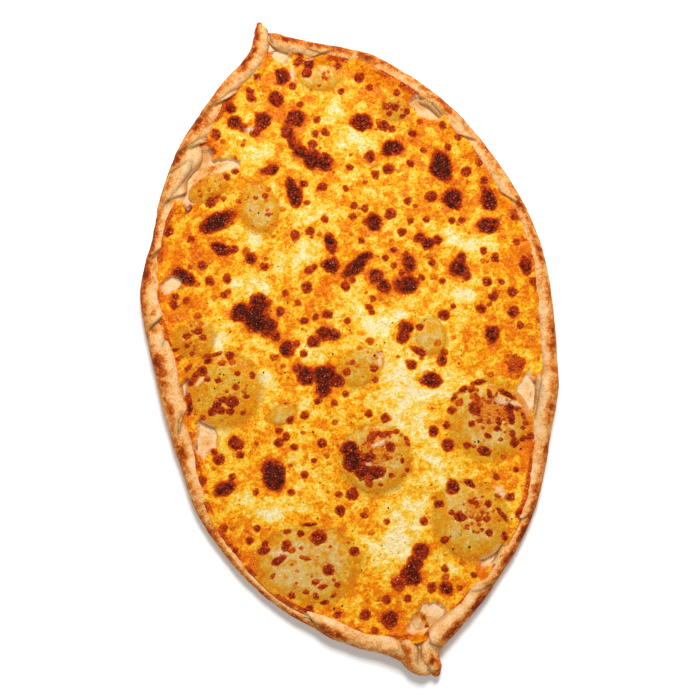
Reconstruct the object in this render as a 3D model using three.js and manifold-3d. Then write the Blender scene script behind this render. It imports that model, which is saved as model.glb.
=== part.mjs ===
// Turkish pide: a long oval flatbread, open on top and pinched to a point at both ends. Its two long edges
// are rolled over, and melted cheese with potato slices in it fills the bread up to the rolls.
// Millimetres, +Z up, +Y towards the upper tip. The origin is under the middle of the outline, on the
// surface that the bread lies on. Places are given from the line through both tips, and a group inside the
// part moves the whole so that the outline is centred.

import * as THREE from 'three';
import { mergeVertices } from 'three/addons/utils/BufferGeometryUtils.js';
import Module from 'manifold-3d';

const wasm = await Module();
wasm.setup();

// Driving dimensions
const SHEET_THICKNESS = 4.2; // flat dough under the filling
const GAP = 0.3; // between a piece and the one that it lies on or in
const CHEESE_HEIGHT = 7.5; // mean level of the cheese above the table
const FILLING_TOP = 14; // above everything in the filling
const SLICE_RIM_HEIGHT = 7.6; // level of a potato slice's rounded edge
const ROLL_BASE_HEIGHT = 4.4; // height of a roll that has no width
const ROLL_HEIGHT_PER_RADIUS = 1.1; // what each millimetre of its half width adds
const FILLING_ENDS = { top: 161, bottom: -157 }; // how far the filling reaches into the pinched ends
const ROLL_FOOT = 0.4; // how far the table flattens a roll's round underside
const TIP_REACH = 2.2; // how far a roll's rounded end reaches past its last section
const TIP_HEIGHT = 2.9; // height of the point that it ends in
const OUTLINE_MIDDLE = { x: 5.5, y: 0.3 }; // middle of the outline, from the line through the tips
const CHEESE_BLOCK = { width: 230, length: 360 }; // larger than the filling, which cuts it to its outline
const SLICE_EDGE = { foot: 0.97, rounding: 0.8, shoulder: 0.93 }; // rounded edge: shares and drop in mm

// Fineness of the facets
const ROLL_STEPS = 72;
const ROLL_SIDES = 10;
const LINE_SAMPLES = 400; // along a roll, to find how far along it a seam lies
const ARC_STEPS = 24; // between the two pinched ends of a roll
const OUTLINE_STEPS = 40;
const CHEESE_CELL = 10;
const SLICE_SIDES = 16;

// The two rolled edges. A centre line is a quarter superellipse above the widest point and another one
// below it, with a few points at each end where the dough is pinched. A bulge gives the y of its middle,
// its reach and how far it pushes the line outwards. Radii are half widths at stations down the roll, as
// pairs of y and radius. A seam crosses the roll from inner to outer, and over is 1 where the upper fold
// lies on the lower one and -1 where the lower fold lies on top.
const LEFT_ROLL = {
  side: -1,
  halfWidth: 97.7,
  widestAt: 24.4,
  upper: { length: 132, power: 1.66 },
  lower: { length: 173.6, power: 2.81 },
  between: [140, -112],
  bulges: [[58, 12, 1.8], [20, 20, -2.2], [-66, 24, 3], [-112, 9, -1.2]],
  pinchedStart: [[-0.9, 178.6], [-1.4, 172], [-5.5, 163.8], [-12.2, 157.8], [-22.5, 151.8]],
  pinchedEnd: [
    [-69, -119.5], [-61.3, -127.6], [-52.3, -135], [-41.7, -143.4], [-28.5, -152], [-17, -157],
    [-10.6, -164], [-9.2, -169.5], [-6.6, -173.4], [-3.4, -176.2],
  ],
  radii: [
    [179, 2.2], [175, 3.8], [169, 4.7], [158, 4.8], [143, 5], [129, 5.4], [104, 4.9], [82, 3.4],
    [68, 4.6], [42, 5.5], [18, 6], [-22, 5.5], [-52, 4.6], [-84, 3.3], [-120, 3.1], [-130, 3.8],
    [-143, 4.7], [-151, 4.5], [-158, 6], [-164, 5], [-170, 3.8], [-176, 2.4],
  ],
  seams: [
    { inner: 150, outer: 139, over: 1 },
    { inner: 129, outer: 121, over: 1 },
    { inner: 117, outer: 108, over: 1 },
    { inner: 106, outer: 96, over: 1 },
    { inner: 92, outer: 80, over: 1 },
    { inner: 61, outer: 50, over: -1 },
    { inner: 43, outer: 36, over: 1 },
    { inner: -8, outer: -30, over: 1 },
    { inner: -128, outer: -138, over: -1 },
    { inner: -160, outer: -155, over: -1 },
  ],
};
const RIGHT_ROLL = {
  side: 1,
  halfWidth: 109.6,
  widestAt: 19.8,
  upper: { length: 142.1, power: 1.89 },
  lower: { length: 174.7, power: 1.73 },
  between: [146, -132],
  bulges: [[148, 9, 1.8], [82, 25, -1], [-5, 25, -0.7], [-62, 10, -1], [-108, 22, 2.8]],
  pinchedStart: [[2.4, 171.4], [8.2, 165.8], [16.5, 161.6], [28, 156]],
  pinchedEnd: [
    [27.8, -146.7], [17.5, -152.6], [8, -158.4], [1.8, -163], [0.2, -168], [1, -173.5], [1.1, -178],
  ],
  radii: [
    [172, 3.2], [167, 4.4], [150, 4.2], [75, 4.3], [20, 4.5], [-28, 4.9], [-46, 6], [-60, 5.8],
    [-76, 4.8], [-104, 4.1], [-130, 4.3], [-147, 5], [-158, 5.9], [-168, 5.4], [-174, 4.1], [-178, 2.2],
  ],
  seams: [
    { inner: 158, outer: 152, over: 1 },
    { inner: 122, outer: 108, over: -1 },
    { inner: 98, outer: 84, over: 1 },
    { inner: 62, outer: 46, over: 1 },
    { inner: -38, outer: -54, over: -1 },
    { inner: -114, outer: -104, over: 1 },
    { inner: -140, outer: -131, over: -1 },
    { inner: -160, outer: -164, over: 1 },
  ],
};
const SEAM_STEP = 1.1; // height of one fold above the next at a seam
const SEAM_REACH = 13; // length over which that step fades away
const SEAM_SHARPNESS = 2.5;

// Folds of dough that lie inside the upper left roll: place, half length, half width and turn.
const INNER_FOLDS = [
  { at: [-48.5, 122.5], half: [6.5, 4.2], turn: 62 },
  { at: [-66.5, 101], half: [6.5, 3.8], turn: 58 },
];
const INNER_FOLD_HEIGHT = 7.4;

// Potato slices as they show: place, half axes and turn in degrees.
const SLICES = [
  { at: [-69, -4], half: [19.8, 20], turn: 0 },
  { at: [-49.5, -105], half: [27.5, 20.5], turn: -14 },
  { at: [-0.5, -60], half: [19, 19], turn: 0 },
  { at: [63, -55.5], half: [21.5, 20.5], turn: 0 },
  { at: [39.5, -104.5], half: [19.5, 21], turn: 10 },
  { at: [4, -11], half: [13, 9.5], turn: 12 },
  { at: [44.5, -5], half: [8.5, 10], turn: 0 },
  { at: [-77, 26], half: [11.5, 9.5], turn: 0 },
  { at: [-26, 84], half: [10.5, 13.5], turn: 0 },
  { at: [-49, 101.5], half: [11.5, 7], turn: 14 },
  { at: [23, 143], half: [11, 7.5], turn: -18 },
  { at: [57, 117], half: [7.5, 7], turn: 0 },
  { at: [-42, -24], half: [8, 5.5], turn: 0 },
];
const SLICE_CROWN = 0.055; // how much a slice rises to its middle, for each millimetre of its half axis

// Places beside the rolls where the cheese stops short and bare dough shows.
const BARE_PATCHES = [
  { at: [-49, 112.5], half: [15, 4.5], turn: 12 },
  { at: [6, 160], half: [4, 5.5], turn: 20 },
  { at: [73, 113], half: [10, 4.5], turn: -46 },
  { at: [-81.5, 57], half: [5.5, 3], turn: 20 },
  { at: [-85, -26], half: [9.5, 5.5], turn: 65 },
  { at: [84, -50], half: [12, 5.5], turn: 62 },
  { at: [45.5, -123.5], half: [9, 5], turn: 40 },
  { at: [4, -147], half: [12, 6], turn: 22 },
];

// Large browned blisters in the cheese: x, y and the half axes along X and Y.
const BLISTERS = [
  [-49, 34, 5.5, 5], [-38, 35, 5.5, 5], [-42, 26, 6.5, 6.5], [-16, -10, 7, 7], [-27, -5, 5, 5],
  [4, 126, 5.5, 4.5], [1, 113, 3, 5.5], [10, 101, 6.5, 5], [-49, 84, 9.5, 4.5], [-6, 88, 3.5, 8],
  [73, 81, 5.5, 8], [74, 64, 6, 5.5], [92, 58, 4, 5.5], [89, 45, 5.5, 4.3], [31, 62, 4.7, 4.7],
  [16, 42, 8, 4.5], [39, 25, 6.5, 5], [26, 32, 4.5, 5.5], [68, 28, 5, 6], [3, 45, 4.7, 4.7],
  [-10, 10, 7.5, 4], [31, 1, 4.5, 4.5], [76, -12, 4, 5], [38, -27, 5.5, 4], [-55, -55, 6, 8],
  [-81, -54, 6, 4.5], [-70, -32, 4, 4], [10, -114, 4.5, 5], [3, -122, 5.5, 5.5], [-16, -143, 4.5, 4.5],
  [18, -135, 4, 4], [50, 97, 6, 4.5], [38, 115, 5.5, 4], [-74, 60, 5.5, 4.5], [-51, 69, 5, 4],
  [4, 148, 3.5, 4.5], [-12, 129, 4.5, 4], [-27, 132, 4, 4], [-15, 102, 4.5, 3.5], [58, 45, 5, 4],
  [-8, -57, 6, 8], [-70, -11, 7, 4], [36, -85, 4, 4.5], [57, -70, 4, 3.5], [-40, -92, 3.7, 3.7],
];
const BLISTER_RISE = 1.3;
const BLISTER_SIDES = 7;
const DOME = { buried: 0.3, shoulderRise: 0.7, shoulderShare: 0.66 }; // how every blister is rounded

// Small blisters and grains of pepper are scattered by a seeded rule.
const SMALL_BLISTERS = { count: 24, smallest: 2, largest: 3.2, sides: 6, seed: 7, risePerRadius: 0.4 };
const PEPPER = {
  count: 34, smallest: 0.8, largest: 1.2, sides: 5, seed: 21, narrowness: 0.75, sunk: 0.6, proud: 0.9,
};
const SCATTER_AREA = { left: -84, right: 94, bottom: -134, top: 140 };
const SCATTER_CLEARANCE = 6; // from the middle of a scattered bit to the roll beside it
const SLICE_MARGIN = -2; // a blister or grain is on a slice if its middle is this far inside

const COLOURS = { crust: 0xe6bf88, cheese: 0xf6b436, potato: 0xc6a95a };

const radians = (degrees) => (degrees * Math.PI) / 180;
const smooth = (share) => share * share * (3 - 2 * share);

// A small generator that gives the same numbers between 0 and 1 for the same seed.
function seededRandom(seed) {
  let state = seed;
  return () => {
    state = (state * 1103515245 + 12345) % 2147483648;
    return state / 2147483648;
  };
}

// A value at a place between stations, which run downwards, with a smooth change from one to the next.
function atStation(stations, y) {
  const below = stations.findIndex(([height]) => height <= y);
  if (below === 0) return stations[0][1];
  if (below < 0) return stations[stations.length - 1][1];
  const [upperY, upperValue] = stations[below - 1];
  const [lowerY, lowerValue] = stations[below];
  return upperValue + (lowerValue - upperValue) * smooth((upperY - y) / (upperY - lowerY));
}

// A closed three.js geometry as a solid that can be joined and cut.
function toSolid(geometry) {
  const bare = geometry.clone();
  bare.deleteAttribute('normal');
  bare.deleteAttribute('uv');
  const merged = mergeVertices(bare, 1e-5);
  return new wasm.Manifold(new wasm.Mesh({
    numProp: 3,
    vertProperties: new Float32Array(merged.attributes.position.array),
    triVerts: new Uint32Array(merged.index.array),
  }));
}

function toGeometry(solid) {
  const mesh = solid.getMesh();
  const geometry = new THREE.BufferGeometry();
  geometry.setAttribute('position', new THREE.BufferAttribute(mesh.vertProperties, 3));
  geometry.setIndex(new THREE.BufferAttribute(mesh.triVerts, 1));
  geometry.computeVertexNormals();
  return geometry;
}

function skinToSolid(points, triangles) {
  const geometry = new THREE.BufferGeometry();
  geometry.setAttribute('position', new THREE.Float32BufferAttribute(points.flat(), 3));
  geometry.setIndex(triangles);
  return toSolid(geometry);
}

// Rings of points joined into a skin, closed by one point at each end. flip turns the faces round.
function closedSkin(rings, firstPole, lastPole, flip) {
  const sides = rings[0].length;
  const points = [firstPole, ...rings.flat(), lastPole];
  const triangles = [];
  const add = (a, b, c) => triangles.push(...(flip ? [a, c, b] : [a, b, c]));
  const at = (ring, side) => 1 + ring * sides + (side % sides);
  for (let side = 0; side < sides; side += 1) {
    add(0, at(0, side + 1), at(0, side));
    add(points.length - 1, at(rings.length - 1, side), at(rings.length - 1, side + 1));
    for (let ring = 0; ring < rings.length - 1; ring += 1) {
      add(at(ring, side), at(ring, side + 1), at(ring + 1, side + 1));
      add(at(ring, side), at(ring + 1, side + 1), at(ring + 1, side));
    }
  }
  return skinToSolid(points, triangles);
}

// A round body made of level rings: each level gives its height and its share of the full outline.
function levelStack(spot, levels, sides, lowest, highest, spread = 0) {
  const turn = radians(spot.turn ?? 0);
  const outline = (angle, share) => {
    const along = (spot.half[0] + spread) * share * Math.cos(angle);
    const across = (spot.half[1] + spread) * share * Math.sin(angle);
    return [
      spot.at[0] + along * Math.cos(turn) - across * Math.sin(turn),
      spot.at[1] + along * Math.sin(turn) + across * Math.cos(turn),
    ];
  };
  const rings = levels.map(([height, share]) => Array.from({ length: sides }, (_, side) => [
    ...outline((side / sides) * 2 * Math.PI, share), height,
  ]));
  return closedSkin(rings, [...spot.at, lowest], [...spot.at, highest], false);
}

// The centre line of a roll, from the upper pinched end to the lower one.
function rollLine(roll) {
  const arc = [];
  const [top, bottom] = roll.between;
  for (let step = 0; step <= ARC_STEPS; step += 1) {
    const y = top + ((bottom - top) * step) / ARC_STEPS;
    const quarter = y > roll.widestAt ? roll.upper : roll.lower;
    const share = Math.abs(y - roll.widestAt) / quarter.length;
    const push = roll.bulges.reduce((sum, [middle, reach, amount]) => (
      sum + amount * Math.exp(-(((y - middle) / reach) ** 2))
    ), 0);
    const across = roll.halfWidth * (1 - share ** quarter.power) ** (1 / quarter.power) + push;
    arc.push([roll.side * across, y]);
  }
  const points = [...roll.pinchedStart, ...arc, ...roll.pinchedEnd];
  const places = points.map(([x, y]) => new THREE.Vector3(x, y, 0));
  return new THREE.CatmullRomCurve3(places, false, 'centripetal');
}

// How far along its centre line, in millimetres, a roll reaches a given y.
function distanceTo(y, samples, spacing) {
  const next = samples.findIndex((point) => point.y <= y);
  return (next < 0 ? samples.length - 1 : next) * spacing;
}

// Height that the folds add at a seam: a step at the seam line that fades away on both sides.
function seamRelief(seams, distance, angle) {
  const around = 0.5 + 0.5 * Math.cos(angle); // 0 on the inner side of the roll, 1 on the outer side
  return seams.reduce((sum, seam) => {
    const past = distance - (seam.innerDistance + (seam.outerDistance - seam.innerDistance) * around);
    const step = Math.tanh(past / SEAM_SHARPNESS) * Math.exp(-Math.abs(past) / SEAM_REACH);
    return sum - (seam.over * SEAM_STEP * step) / 2;
  }, 0);
}

// One roll: oval sections along the centre line, flattened underneath where they lie on the table.
function rollSolid(roll) {
  const line = rollLine(roll);
  const samples = line.getSpacedPoints(LINE_SAMPLES);
  const spacing = line.getLength() / LINE_SAMPLES;
  const seams = roll.seams.map((seam) => ({
    over: seam.over,
    innerDistance: distanceTo(seam.inner, samples, spacing),
    outerDistance: distanceTo(seam.outer, samples, spacing),
  }));
  const rings = [];
  for (let step = 0; step <= ROLL_STEPS; step += 1) {
    const centre = line.getPointAt(step / ROLL_STEPS);
    const along = line.getTangentAt(step / ROLL_STEPS);
    const outward = [-along.y * roll.side, along.x * roll.side];
    const radius = atStation(roll.radii, centre.y);
    const halfHeight = (ROLL_BASE_HEIGHT + ROLL_FOOT + ROLL_HEIGHT_PER_RADIUS * radius) / 2;
    const distance = (step / ROLL_STEPS) * line.getLength();
    const ring = [];
    for (let side = 0; side < ROLL_SIDES; side += 1) {
      const angle = ((side + 0.5) / ROLL_SIDES) * 2 * Math.PI;
      const relief = seamRelief(seams, distance, angle);
      const reach = (radius + relief) * Math.cos(angle);
      const height = halfHeight - ROLL_FOOT + (halfHeight + relief) * Math.sin(angle);
      ring.push([centre.x + outward[0] * reach, centre.y + outward[1] * reach, Math.max(height, 0)]);
    }
    rings.push(ring);
  }
  const pole = (share, sign) => {
    const end = line.getPointAt(share).addScaledVector(line.getTangentAt(share), sign * TIP_REACH);
    return [end.x, end.y, TIP_HEIGHT];
  };
  return closedSkin(rings, pole(0, -1), pole(1, 1), roll.side < 0);
}

// The outline between the two rolls, down the left one and up the right one. inset 0 follows their centre
// lines, and 1 their inner edges, with room for the folds and the gap.
function outlineBetween(inset) {
  const side = (roll) => {
    const line = rollLine(roll);
    return Array.from({ length: OUTLINE_STEPS - 1 }, (_, index) => {
      const point = line.getPointAt((index + 1) / OUTLINE_STEPS);
      const along = line.getTangentAt((index + 1) / OUTLINE_STEPS);
      const inwards = inset * (atStation(roll.radii, point.y) + SEAM_STEP / 2 + GAP) * roll.side;
      return new THREE.Vector2(point.x + along.y * inwards, point.y - along.x * inwards);
    });
  };
  const isBetweenEnds = (point) => point.y < FILLING_ENDS.top && point.y > FILLING_ENDS.bottom;
  const points = [...side(LEFT_ROLL), ...side(RIGHT_ROLL).reverse()];
  return new THREE.Shape(inset === 0 ? points : points.filter(isBetweenEnds));
}

function prism(shape, bottom, top) {
  const geometry = new THREE.ExtrudeGeometry(shape, { depth: top - bottom, bevelEnabled: false, steps: 1 });
  geometry.translate(0, 0, bottom);
  return toSolid(geometry);
}

// The bread: a flat sheet, its two rolled edges and the folds inside them, as one piece of dough.
function crustSolid() {
  const folds = INNER_FOLDS.map((fold) => levelStack(
    fold,
    [[SHEET_THICKNESS, 1], [INNER_FOLD_HEIGHT - 1, 0.8]],
    ROLL_SIDES,
    SHEET_THICKNESS / 2,
    INNER_FOLD_HEIGHT,
  ));
  const pieces = [rollSolid(LEFT_ROLL), rollSolid(RIGHT_ROLL), ...folds];
  return pieces.reduce((dough, piece) => dough.add(piece), prism(outlineBetween(0), 0, SHEET_THICKNESS));
}

// Level of the cheese: three long waves of different lengths and directions.
function cheeseLevel(x, y) {
  const longWave = 0.35 * Math.sin(x / 17 + y / 43 + 0.6);
  const crossWave = 0.3 * Math.sin(y / 19 - x / 61 + 1.9);
  const shortWave = 0.2 * Math.sin(x / 9.5 - y / 12.5);
  return CHEESE_HEIGHT + longWave + crossWave + shortWave;
}

// A block whose top is the cheese's wavy level on a grid, and whose underside lies flat on the dough.
function cheeseBlock() {
  const bottom = SHEET_THICKNESS + GAP;
  const columns = CHEESE_BLOCK.width / CHEESE_CELL;
  const rows = CHEESE_BLOCK.length / CHEESE_CELL;
  const left = OUTLINE_MIDDLE.x - (columns * CHEESE_CELL) / 2;
  const front = OUTLINE_MIDDLE.y - (rows * CHEESE_CELL) / 2;
  const points = [];
  const triangles = [];
  for (let row = 0; row <= rows; row += 1) {
    for (let column = 0; column <= columns; column += 1) {
      const x = left + column * CHEESE_CELL;
      const y = front + row * CHEESE_CELL;
      points.push([x, y, cheeseLevel(x, y)]);
    }
  }
  const at = (column, row) => row * (columns + 1) + column;
  for (let row = 0; row < rows; row += 1) {
    for (let column = 0; column < columns; column += 1) {
      const [a, b] = [at(column, row), at(column + 1, row)];
      const [c, d] = [at(column + 1, row + 1), at(column, row + 1)];
      triangles.push(a, b, c, a, c, d);
    }
  }
  // The four walls are fans between a border of the grid and the underside's corners.
  const corners = [at(0, 0), at(columns, 0), at(columns, rows), at(0, rows)];
  const below = corners.map((corner) => points.push([points[corner][0], points[corner][1], bottom]) - 1);
  const borders = [
    Array.from({ length: columns + 1 }, (_, step) => at(step, 0)),
    Array.from({ length: rows + 1 }, (_, step) => at(columns, step)),
    Array.from({ length: columns + 1 }, (_, step) => at(columns - step, rows)),
    Array.from({ length: rows + 1 }, (_, step) => at(0, rows - step)),
  ];
  borders.forEach((border, wall) => {
    const next = below[(wall + 1) % 4];
    triangles.push(below[wall], next, border[border.length - 1]);
    border.slice(1).forEach((point, step) => triangles.push(below[wall], point, border[step]));
  });
  triangles.push(below[0], below[2], below[1], below[0], below[3], below[2]);
  return skinToSolid(points, triangles);
}

// A low dome, buried a little in what it stands on.
function dome(x, y, halfX, halfY, level, rise, sides) {
  const spot = { at: [x, y], half: [halfX, halfY] };
  const levels = [[level - DOME.buried, 1], [level + rise * DOME.shoulderRise, DOME.shoulderShare]];
  return levelStack(spot, levels, sides, level - 1, level + rise);
}

// A grain of pepper: a faceted pebble pressed into what it lies on.
function grain(x, y, radius, level) {
  const spot = { at: [x, y], half: [radius, PEPPER.narrowness * radius], turn: 40 * x };
  const lowest = level - PEPPER.sunk * radius;
  return levelStack(spot, [[level + 0.2, 1]], PEPPER.sides, lowest, level + PEPPER.proud * radius);
}

// Whether a point is in a slice's oval, grown by a margin.
function isOver(slice, x, y, margin) {
  const turn = radians(slice.turn);
  const dx = x - slice.at[0];
  const dy = y - slice.at[1];
  const along = (dx * Math.cos(turn) + dy * Math.sin(turn)) / (slice.half[0] + margin);
  const across = (dy * Math.cos(turn) - dx * Math.sin(turn)) / (slice.half[1] + margin);
  return along * along + across * across < 1;
}

// Whether a scattered bit would lie on the filling, clear of both rolls.
function isOnFilling(x, y) {
  const roll = x < 0 ? LEFT_ROLL : RIGHT_ROLL;
  const quarter = y > roll.widestAt ? roll.upper : roll.lower;
  const along = Math.abs(y - roll.widestAt) / (quarter.length - 2 * SCATTER_CLEARANCE);
  const across = Math.abs(x) / (roll.halfWidth - 2 * SCATTER_CLEARANCE);
  return along ** quarter.power + across ** quarter.power < 1;
}

// Small round bits at random places on the filling: x, y and radius.
function scatter(kind) {
  const random = seededRandom(kind.seed);
  const found = [];
  while (found.length < kind.count) {
    const x = SCATTER_AREA.left + random() * (SCATTER_AREA.right - SCATTER_AREA.left);
    const y = SCATTER_AREA.bottom + random() * (SCATTER_AREA.top - SCATTER_AREA.bottom);
    const radius = kind.smallest + random() * (kind.largest - kind.smallest);
    const crowded = found.some(([otherX, otherY]) => Math.hypot(x - otherX, y - otherY) < 3 * kind.largest);
    const onBlister = BLISTERS.some(([bx, by, half]) => Math.hypot(x - bx, y - by) < half + radius + 1);
    if (isOnFilling(x, y) && !crowded && !onBlister) found.push([x, y, radius]);
  }
  return found;
}

// Every blister and grain of pepper, as a dome on whatever level it is asked to stand.
function bits() {
  const large = BLISTERS.map(([x, y, halfX, halfY]) => ({
    x, y, build: (level) => dome(x, y, halfX, halfY, level, BLISTER_RISE, BLISTER_SIDES),
  }));
  const small = scatter(SMALL_BLISTERS).map(([x, y, radius]) => ({
    x,
    y,
    build: (level) => (
      dome(x, y, radius, radius, level, SMALL_BLISTERS.risePerRadius * radius, SMALL_BLISTERS.sides)
    ),
  }));
  const grains = scatter(PEPPER).map(([x, y, radius]) => ({
    x, y, build: (level) => grain(x, y, radius, level),
  }));
  return [...large, ...small, ...grains];
}

// A potato slice: a disc with a rounded edge and a low crown, cut back to its own outline.
function sliceSolid(slice, filling, allBits) {
  const bottom = SHEET_THICKNESS + GAP;
  const crown = SLICE_RIM_HEIGHT + SLICE_CROWN * Math.min(...slice.half);
  const rim = SLICE_RIM_HEIGHT;
  const levels = [
    [bottom, SLICE_EDGE.foot],
    [rim - SLICE_EDGE.rounding, 1],
    [rim, SLICE_EDGE.shoulder],
    [crown - 0.25 * (crown - rim), 0.55],
  ];
  const disc = levelStack(slice, levels, SLICE_SIDES, bottom, crown);
  const ownOutline = levelStack(slice, [[bottom, 1], [FILLING_TOP, 1]], SLICE_SIDES, bottom, FILLING_TOP);
  const levelAt = (x, y) => {
    const away = Math.hypot((x - slice.at[0]) / slice.half[0], (y - slice.at[1]) / slice.half[1]);
    return rim + (crown - rim) * Math.max(0, 1 - away * away) - 0.1;
  };
  const carried = allBits.filter(({ x, y }) => isOver(slice, x, y, SLICE_MARGIN));
  const topped = carried.reduce((solid, bit) => solid.add(bit.build(levelAt(bit.x, bit.y))), disc);
  return topped.intersect(ownOutline).intersect(filling);
}

// The cheese: one sheet round the slices and up to the rolls, with bare patches left out of it.
function cheeseSolid(filling, allBits) {
  const carried = allBits.filter(({ x, y }) => !SLICES.some((slice) => isOver(slice, x, y, SLICE_MARGIN)));
  const addBit = (solid, bit) => solid.add(bit.build(cheeseLevel(bit.x, bit.y)));
  const wavy = carried.reduce(addBit, cheeseBlock());
  const holes = [...SLICES, ...BARE_PATCHES, ...INNER_FOLDS].map((spot) => (
    levelStack(spot, [[0, 1], [FILLING_TOP, 1]], SLICE_SIDES, 0, FILLING_TOP, GAP)
  ));
  const cut = holes.reduce((solid, hole) => solid.subtract(hole), wavy.intersect(filling));
  const bodies = cut.decompose().sort((a, b) => b.numTri() - a.numTri());
  return bodies[0];
}

function namedMesh(name, solid, color, roughness) {
  const mesh = new THREE.Mesh(
    toGeometry(solid),
    new THREE.MeshStandardMaterial({ color, roughness, metalness: 0 }),
  );
  mesh.name = name;
  return mesh;
}

const filling = prism(outlineBetween(1), 0, FILLING_TOP);
const allBits = bits();

const pide = new THREE.Group();
pide.position.set(-OUTLINE_MIDDLE.x, -OUTLINE_MIDDLE.y, 0);
pide.add(namedMesh('crust', crustSolid(), COLOURS.crust, 0.75));
pide.add(namedMesh('cheese', cheeseSolid(filling, allBits), COLOURS.cheese, 0.35));
SLICES.forEach((slice, index) => {
  const name = `potato_slice_${String(index + 1).padStart(2, '0')}`;
  pide.add(namedMesh(name, sliceSolid(slice, filling, allBits), COLOURS.potato, 0.5));
});

const bread = new THREE.Group();
bread.add(pide);

export default bread;
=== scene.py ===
import math

import bpy
import numpy as np
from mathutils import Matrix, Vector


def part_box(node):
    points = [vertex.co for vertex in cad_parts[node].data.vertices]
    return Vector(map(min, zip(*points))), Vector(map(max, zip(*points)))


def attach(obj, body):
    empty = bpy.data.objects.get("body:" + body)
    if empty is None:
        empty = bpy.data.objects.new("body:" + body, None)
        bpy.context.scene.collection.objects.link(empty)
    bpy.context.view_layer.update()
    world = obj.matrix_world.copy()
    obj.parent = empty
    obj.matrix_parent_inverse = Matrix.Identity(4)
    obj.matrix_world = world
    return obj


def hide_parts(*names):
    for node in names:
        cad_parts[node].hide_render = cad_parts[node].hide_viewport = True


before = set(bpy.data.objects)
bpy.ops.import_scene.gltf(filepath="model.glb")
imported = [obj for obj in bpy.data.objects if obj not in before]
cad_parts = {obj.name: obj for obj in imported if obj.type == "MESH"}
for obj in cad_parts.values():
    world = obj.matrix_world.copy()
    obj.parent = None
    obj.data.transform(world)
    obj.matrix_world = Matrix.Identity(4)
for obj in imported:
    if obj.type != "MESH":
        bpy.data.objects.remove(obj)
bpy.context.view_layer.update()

# A turkish pide seen from above: two rolled edges of dough pinched into a point at both ends, a flat sheet
# of dough under the filling, melted and browned cheese, potato slices and cracked pepper.
# Shapes are worked out in millimetres, with x and y taken from the line through both tips, and each mesh is
# moved to the frame and turned into metres as it is made.
METRES = 0.001
FULL_TURN = 2 * math.pi

# Heights. ROLL_FOOT is what is cut off flat under a roll.
SHEET_HEIGHT = 5.6
CHEESE_HEIGHT = 7.5
CHEESE_UNDERSIDE = 3.4
ROLL_BASE_HEIGHT = 4.4
ROLL_HEIGHT_PER_RADIUS = 1.1
ROLL_FOOT = 0.4
SLICE_BOTTOM = CHEESE_UNDERSIDE + 1

# The two rolled edges: a quarter superellipse above the widest point and one below it, given points at
# the pinched ends, bulges (y, reach, push outwards), half widths down the roll (y, radius), swells that
# widen its inner side (y, reach, extra width) and the seams where one fold of dough lies on the next
# (y on the inner side, y on the outer side, 1 where the upper fold is on top and -1 where the lower one is).
LEFT_ROLL = {
    "side": -1,
    "half_width": 97.7,
    "widest_at": 24.4,
    "upper": (132, 1.66),
    "lower": (173.6, 2.81),
    "between": (140, -112),
    "bulges": [(58, 12, 1.8), (20, 20, -2.2), (-66, 24, 3), (-112, 9, -1.2)],
    "pinched_start": [(-0.9, 178.6), (-1.4, 172), (-5.5, 163.8), (-12.2, 157.8), (-22.5, 151.8)],
    "pinched_end": [
        (-69, -119.5), (-61.3, -127.6), (-52.3, -135), (-41.7, -143.4), (-28.5, -152), (-17, -157),
        (-10.3, -164), (-8.4, -169.5), (-5.4, -173.2), (-2, -175.2),
    ],
    "radii": [
        (179, 2.2), (175, 3.8), (169, 4.7), (158, 4.8), (143, 5), (129, 5.4), (104, 4.9), (82, 3.4),
        (68, 4.6), (42, 5.5), (18, 6), (-22, 5.5), (-52, 4.6), (-84, 3.3), (-120, 3.1), (-130, 3.8),
        (-143, 5.3), (-151, 5.4), (-158, 6.2), (-164, 5.7), (-170, 4.8), (-176, 3.8),
    ],
    "inner_swells": [
        (121, 6.5, 4.2), (102, 6.5, 4.6), (59, 6, 1.2), (14, 16, 1.5), (-22, 14, 2.2), (-142, 9, 1.6),
    ],
    "seams": [
        (150, 137, 1), (130, 119, 1), (107, 94, 1), (79, 71, 1), (42, 36, 1), (-8, -30, 1),
        (-128, -138, -1), (-160, -155, -1),
    ],
}
RIGHT_ROLL = {
    "side": 1,
    "half_width": 109.6,
    "widest_at": 19.8,
    "upper": (142.1, 1.89),
    "lower": (174.7, 1.73),
    "between": (146, -132),
    "bulges": [(148, 9, 1.8), (82, 25, -1), (-5, 25, -0.7), (-62, 10, -1), (-108, 22, 2.8)],
    "pinched_start": [(2.4, 171.4), (8.2, 165.8), (16.5, 161.6), (28, 156)],
    "pinched_end": [
        (27.8, -146.7), (17.5, -152.6), (8, -158.4), (1.8, -163), (0.2, -168), (1, -173.5), (1.1, -178),
    ],
    "radii": [
        (172, 3.2), (167, 4.4), (150, 4.2), (75, 4.3), (20, 4.5), (-28, 4.9), (-46, 6), (-60, 5.8),
        (-76, 4.8), (-104, 4.1), (-130, 4.3), (-147, 5), (-158, 5.9), (-168, 5.4), (-174, 4.4), (-178, 3),
    ],
    "inner_swells": [],
    "seams": [
        (158, 152, 1), (122, 108, -1), (98, 84, 1), (62, 46, 1), (-38, -54, -1), (-114, -104, 1),
        (-140, -131, -1), (-160, -164, 1),
    ],
}
ROLL_SEED = 31
MEAN_ROLL_RADIUS = 5

# How the rolls are divided, and where the rings of a rounded end lie, as shares of the way to its pole
ARC_POINTS = 25
CURVE_STEPS = 40
ROLL_STEPS = 640
ROLL_SIDES = 72
CAP_SHARES = (0.35, 0.6, 0.78, 0.9, 0.97)

# The ends of the rolls: the stretch that narrows, its narrowing and the reach past the last section
END_LENGTH = 4
END_NARROWING = 0.25
TIP_REACH = 1.9

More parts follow.
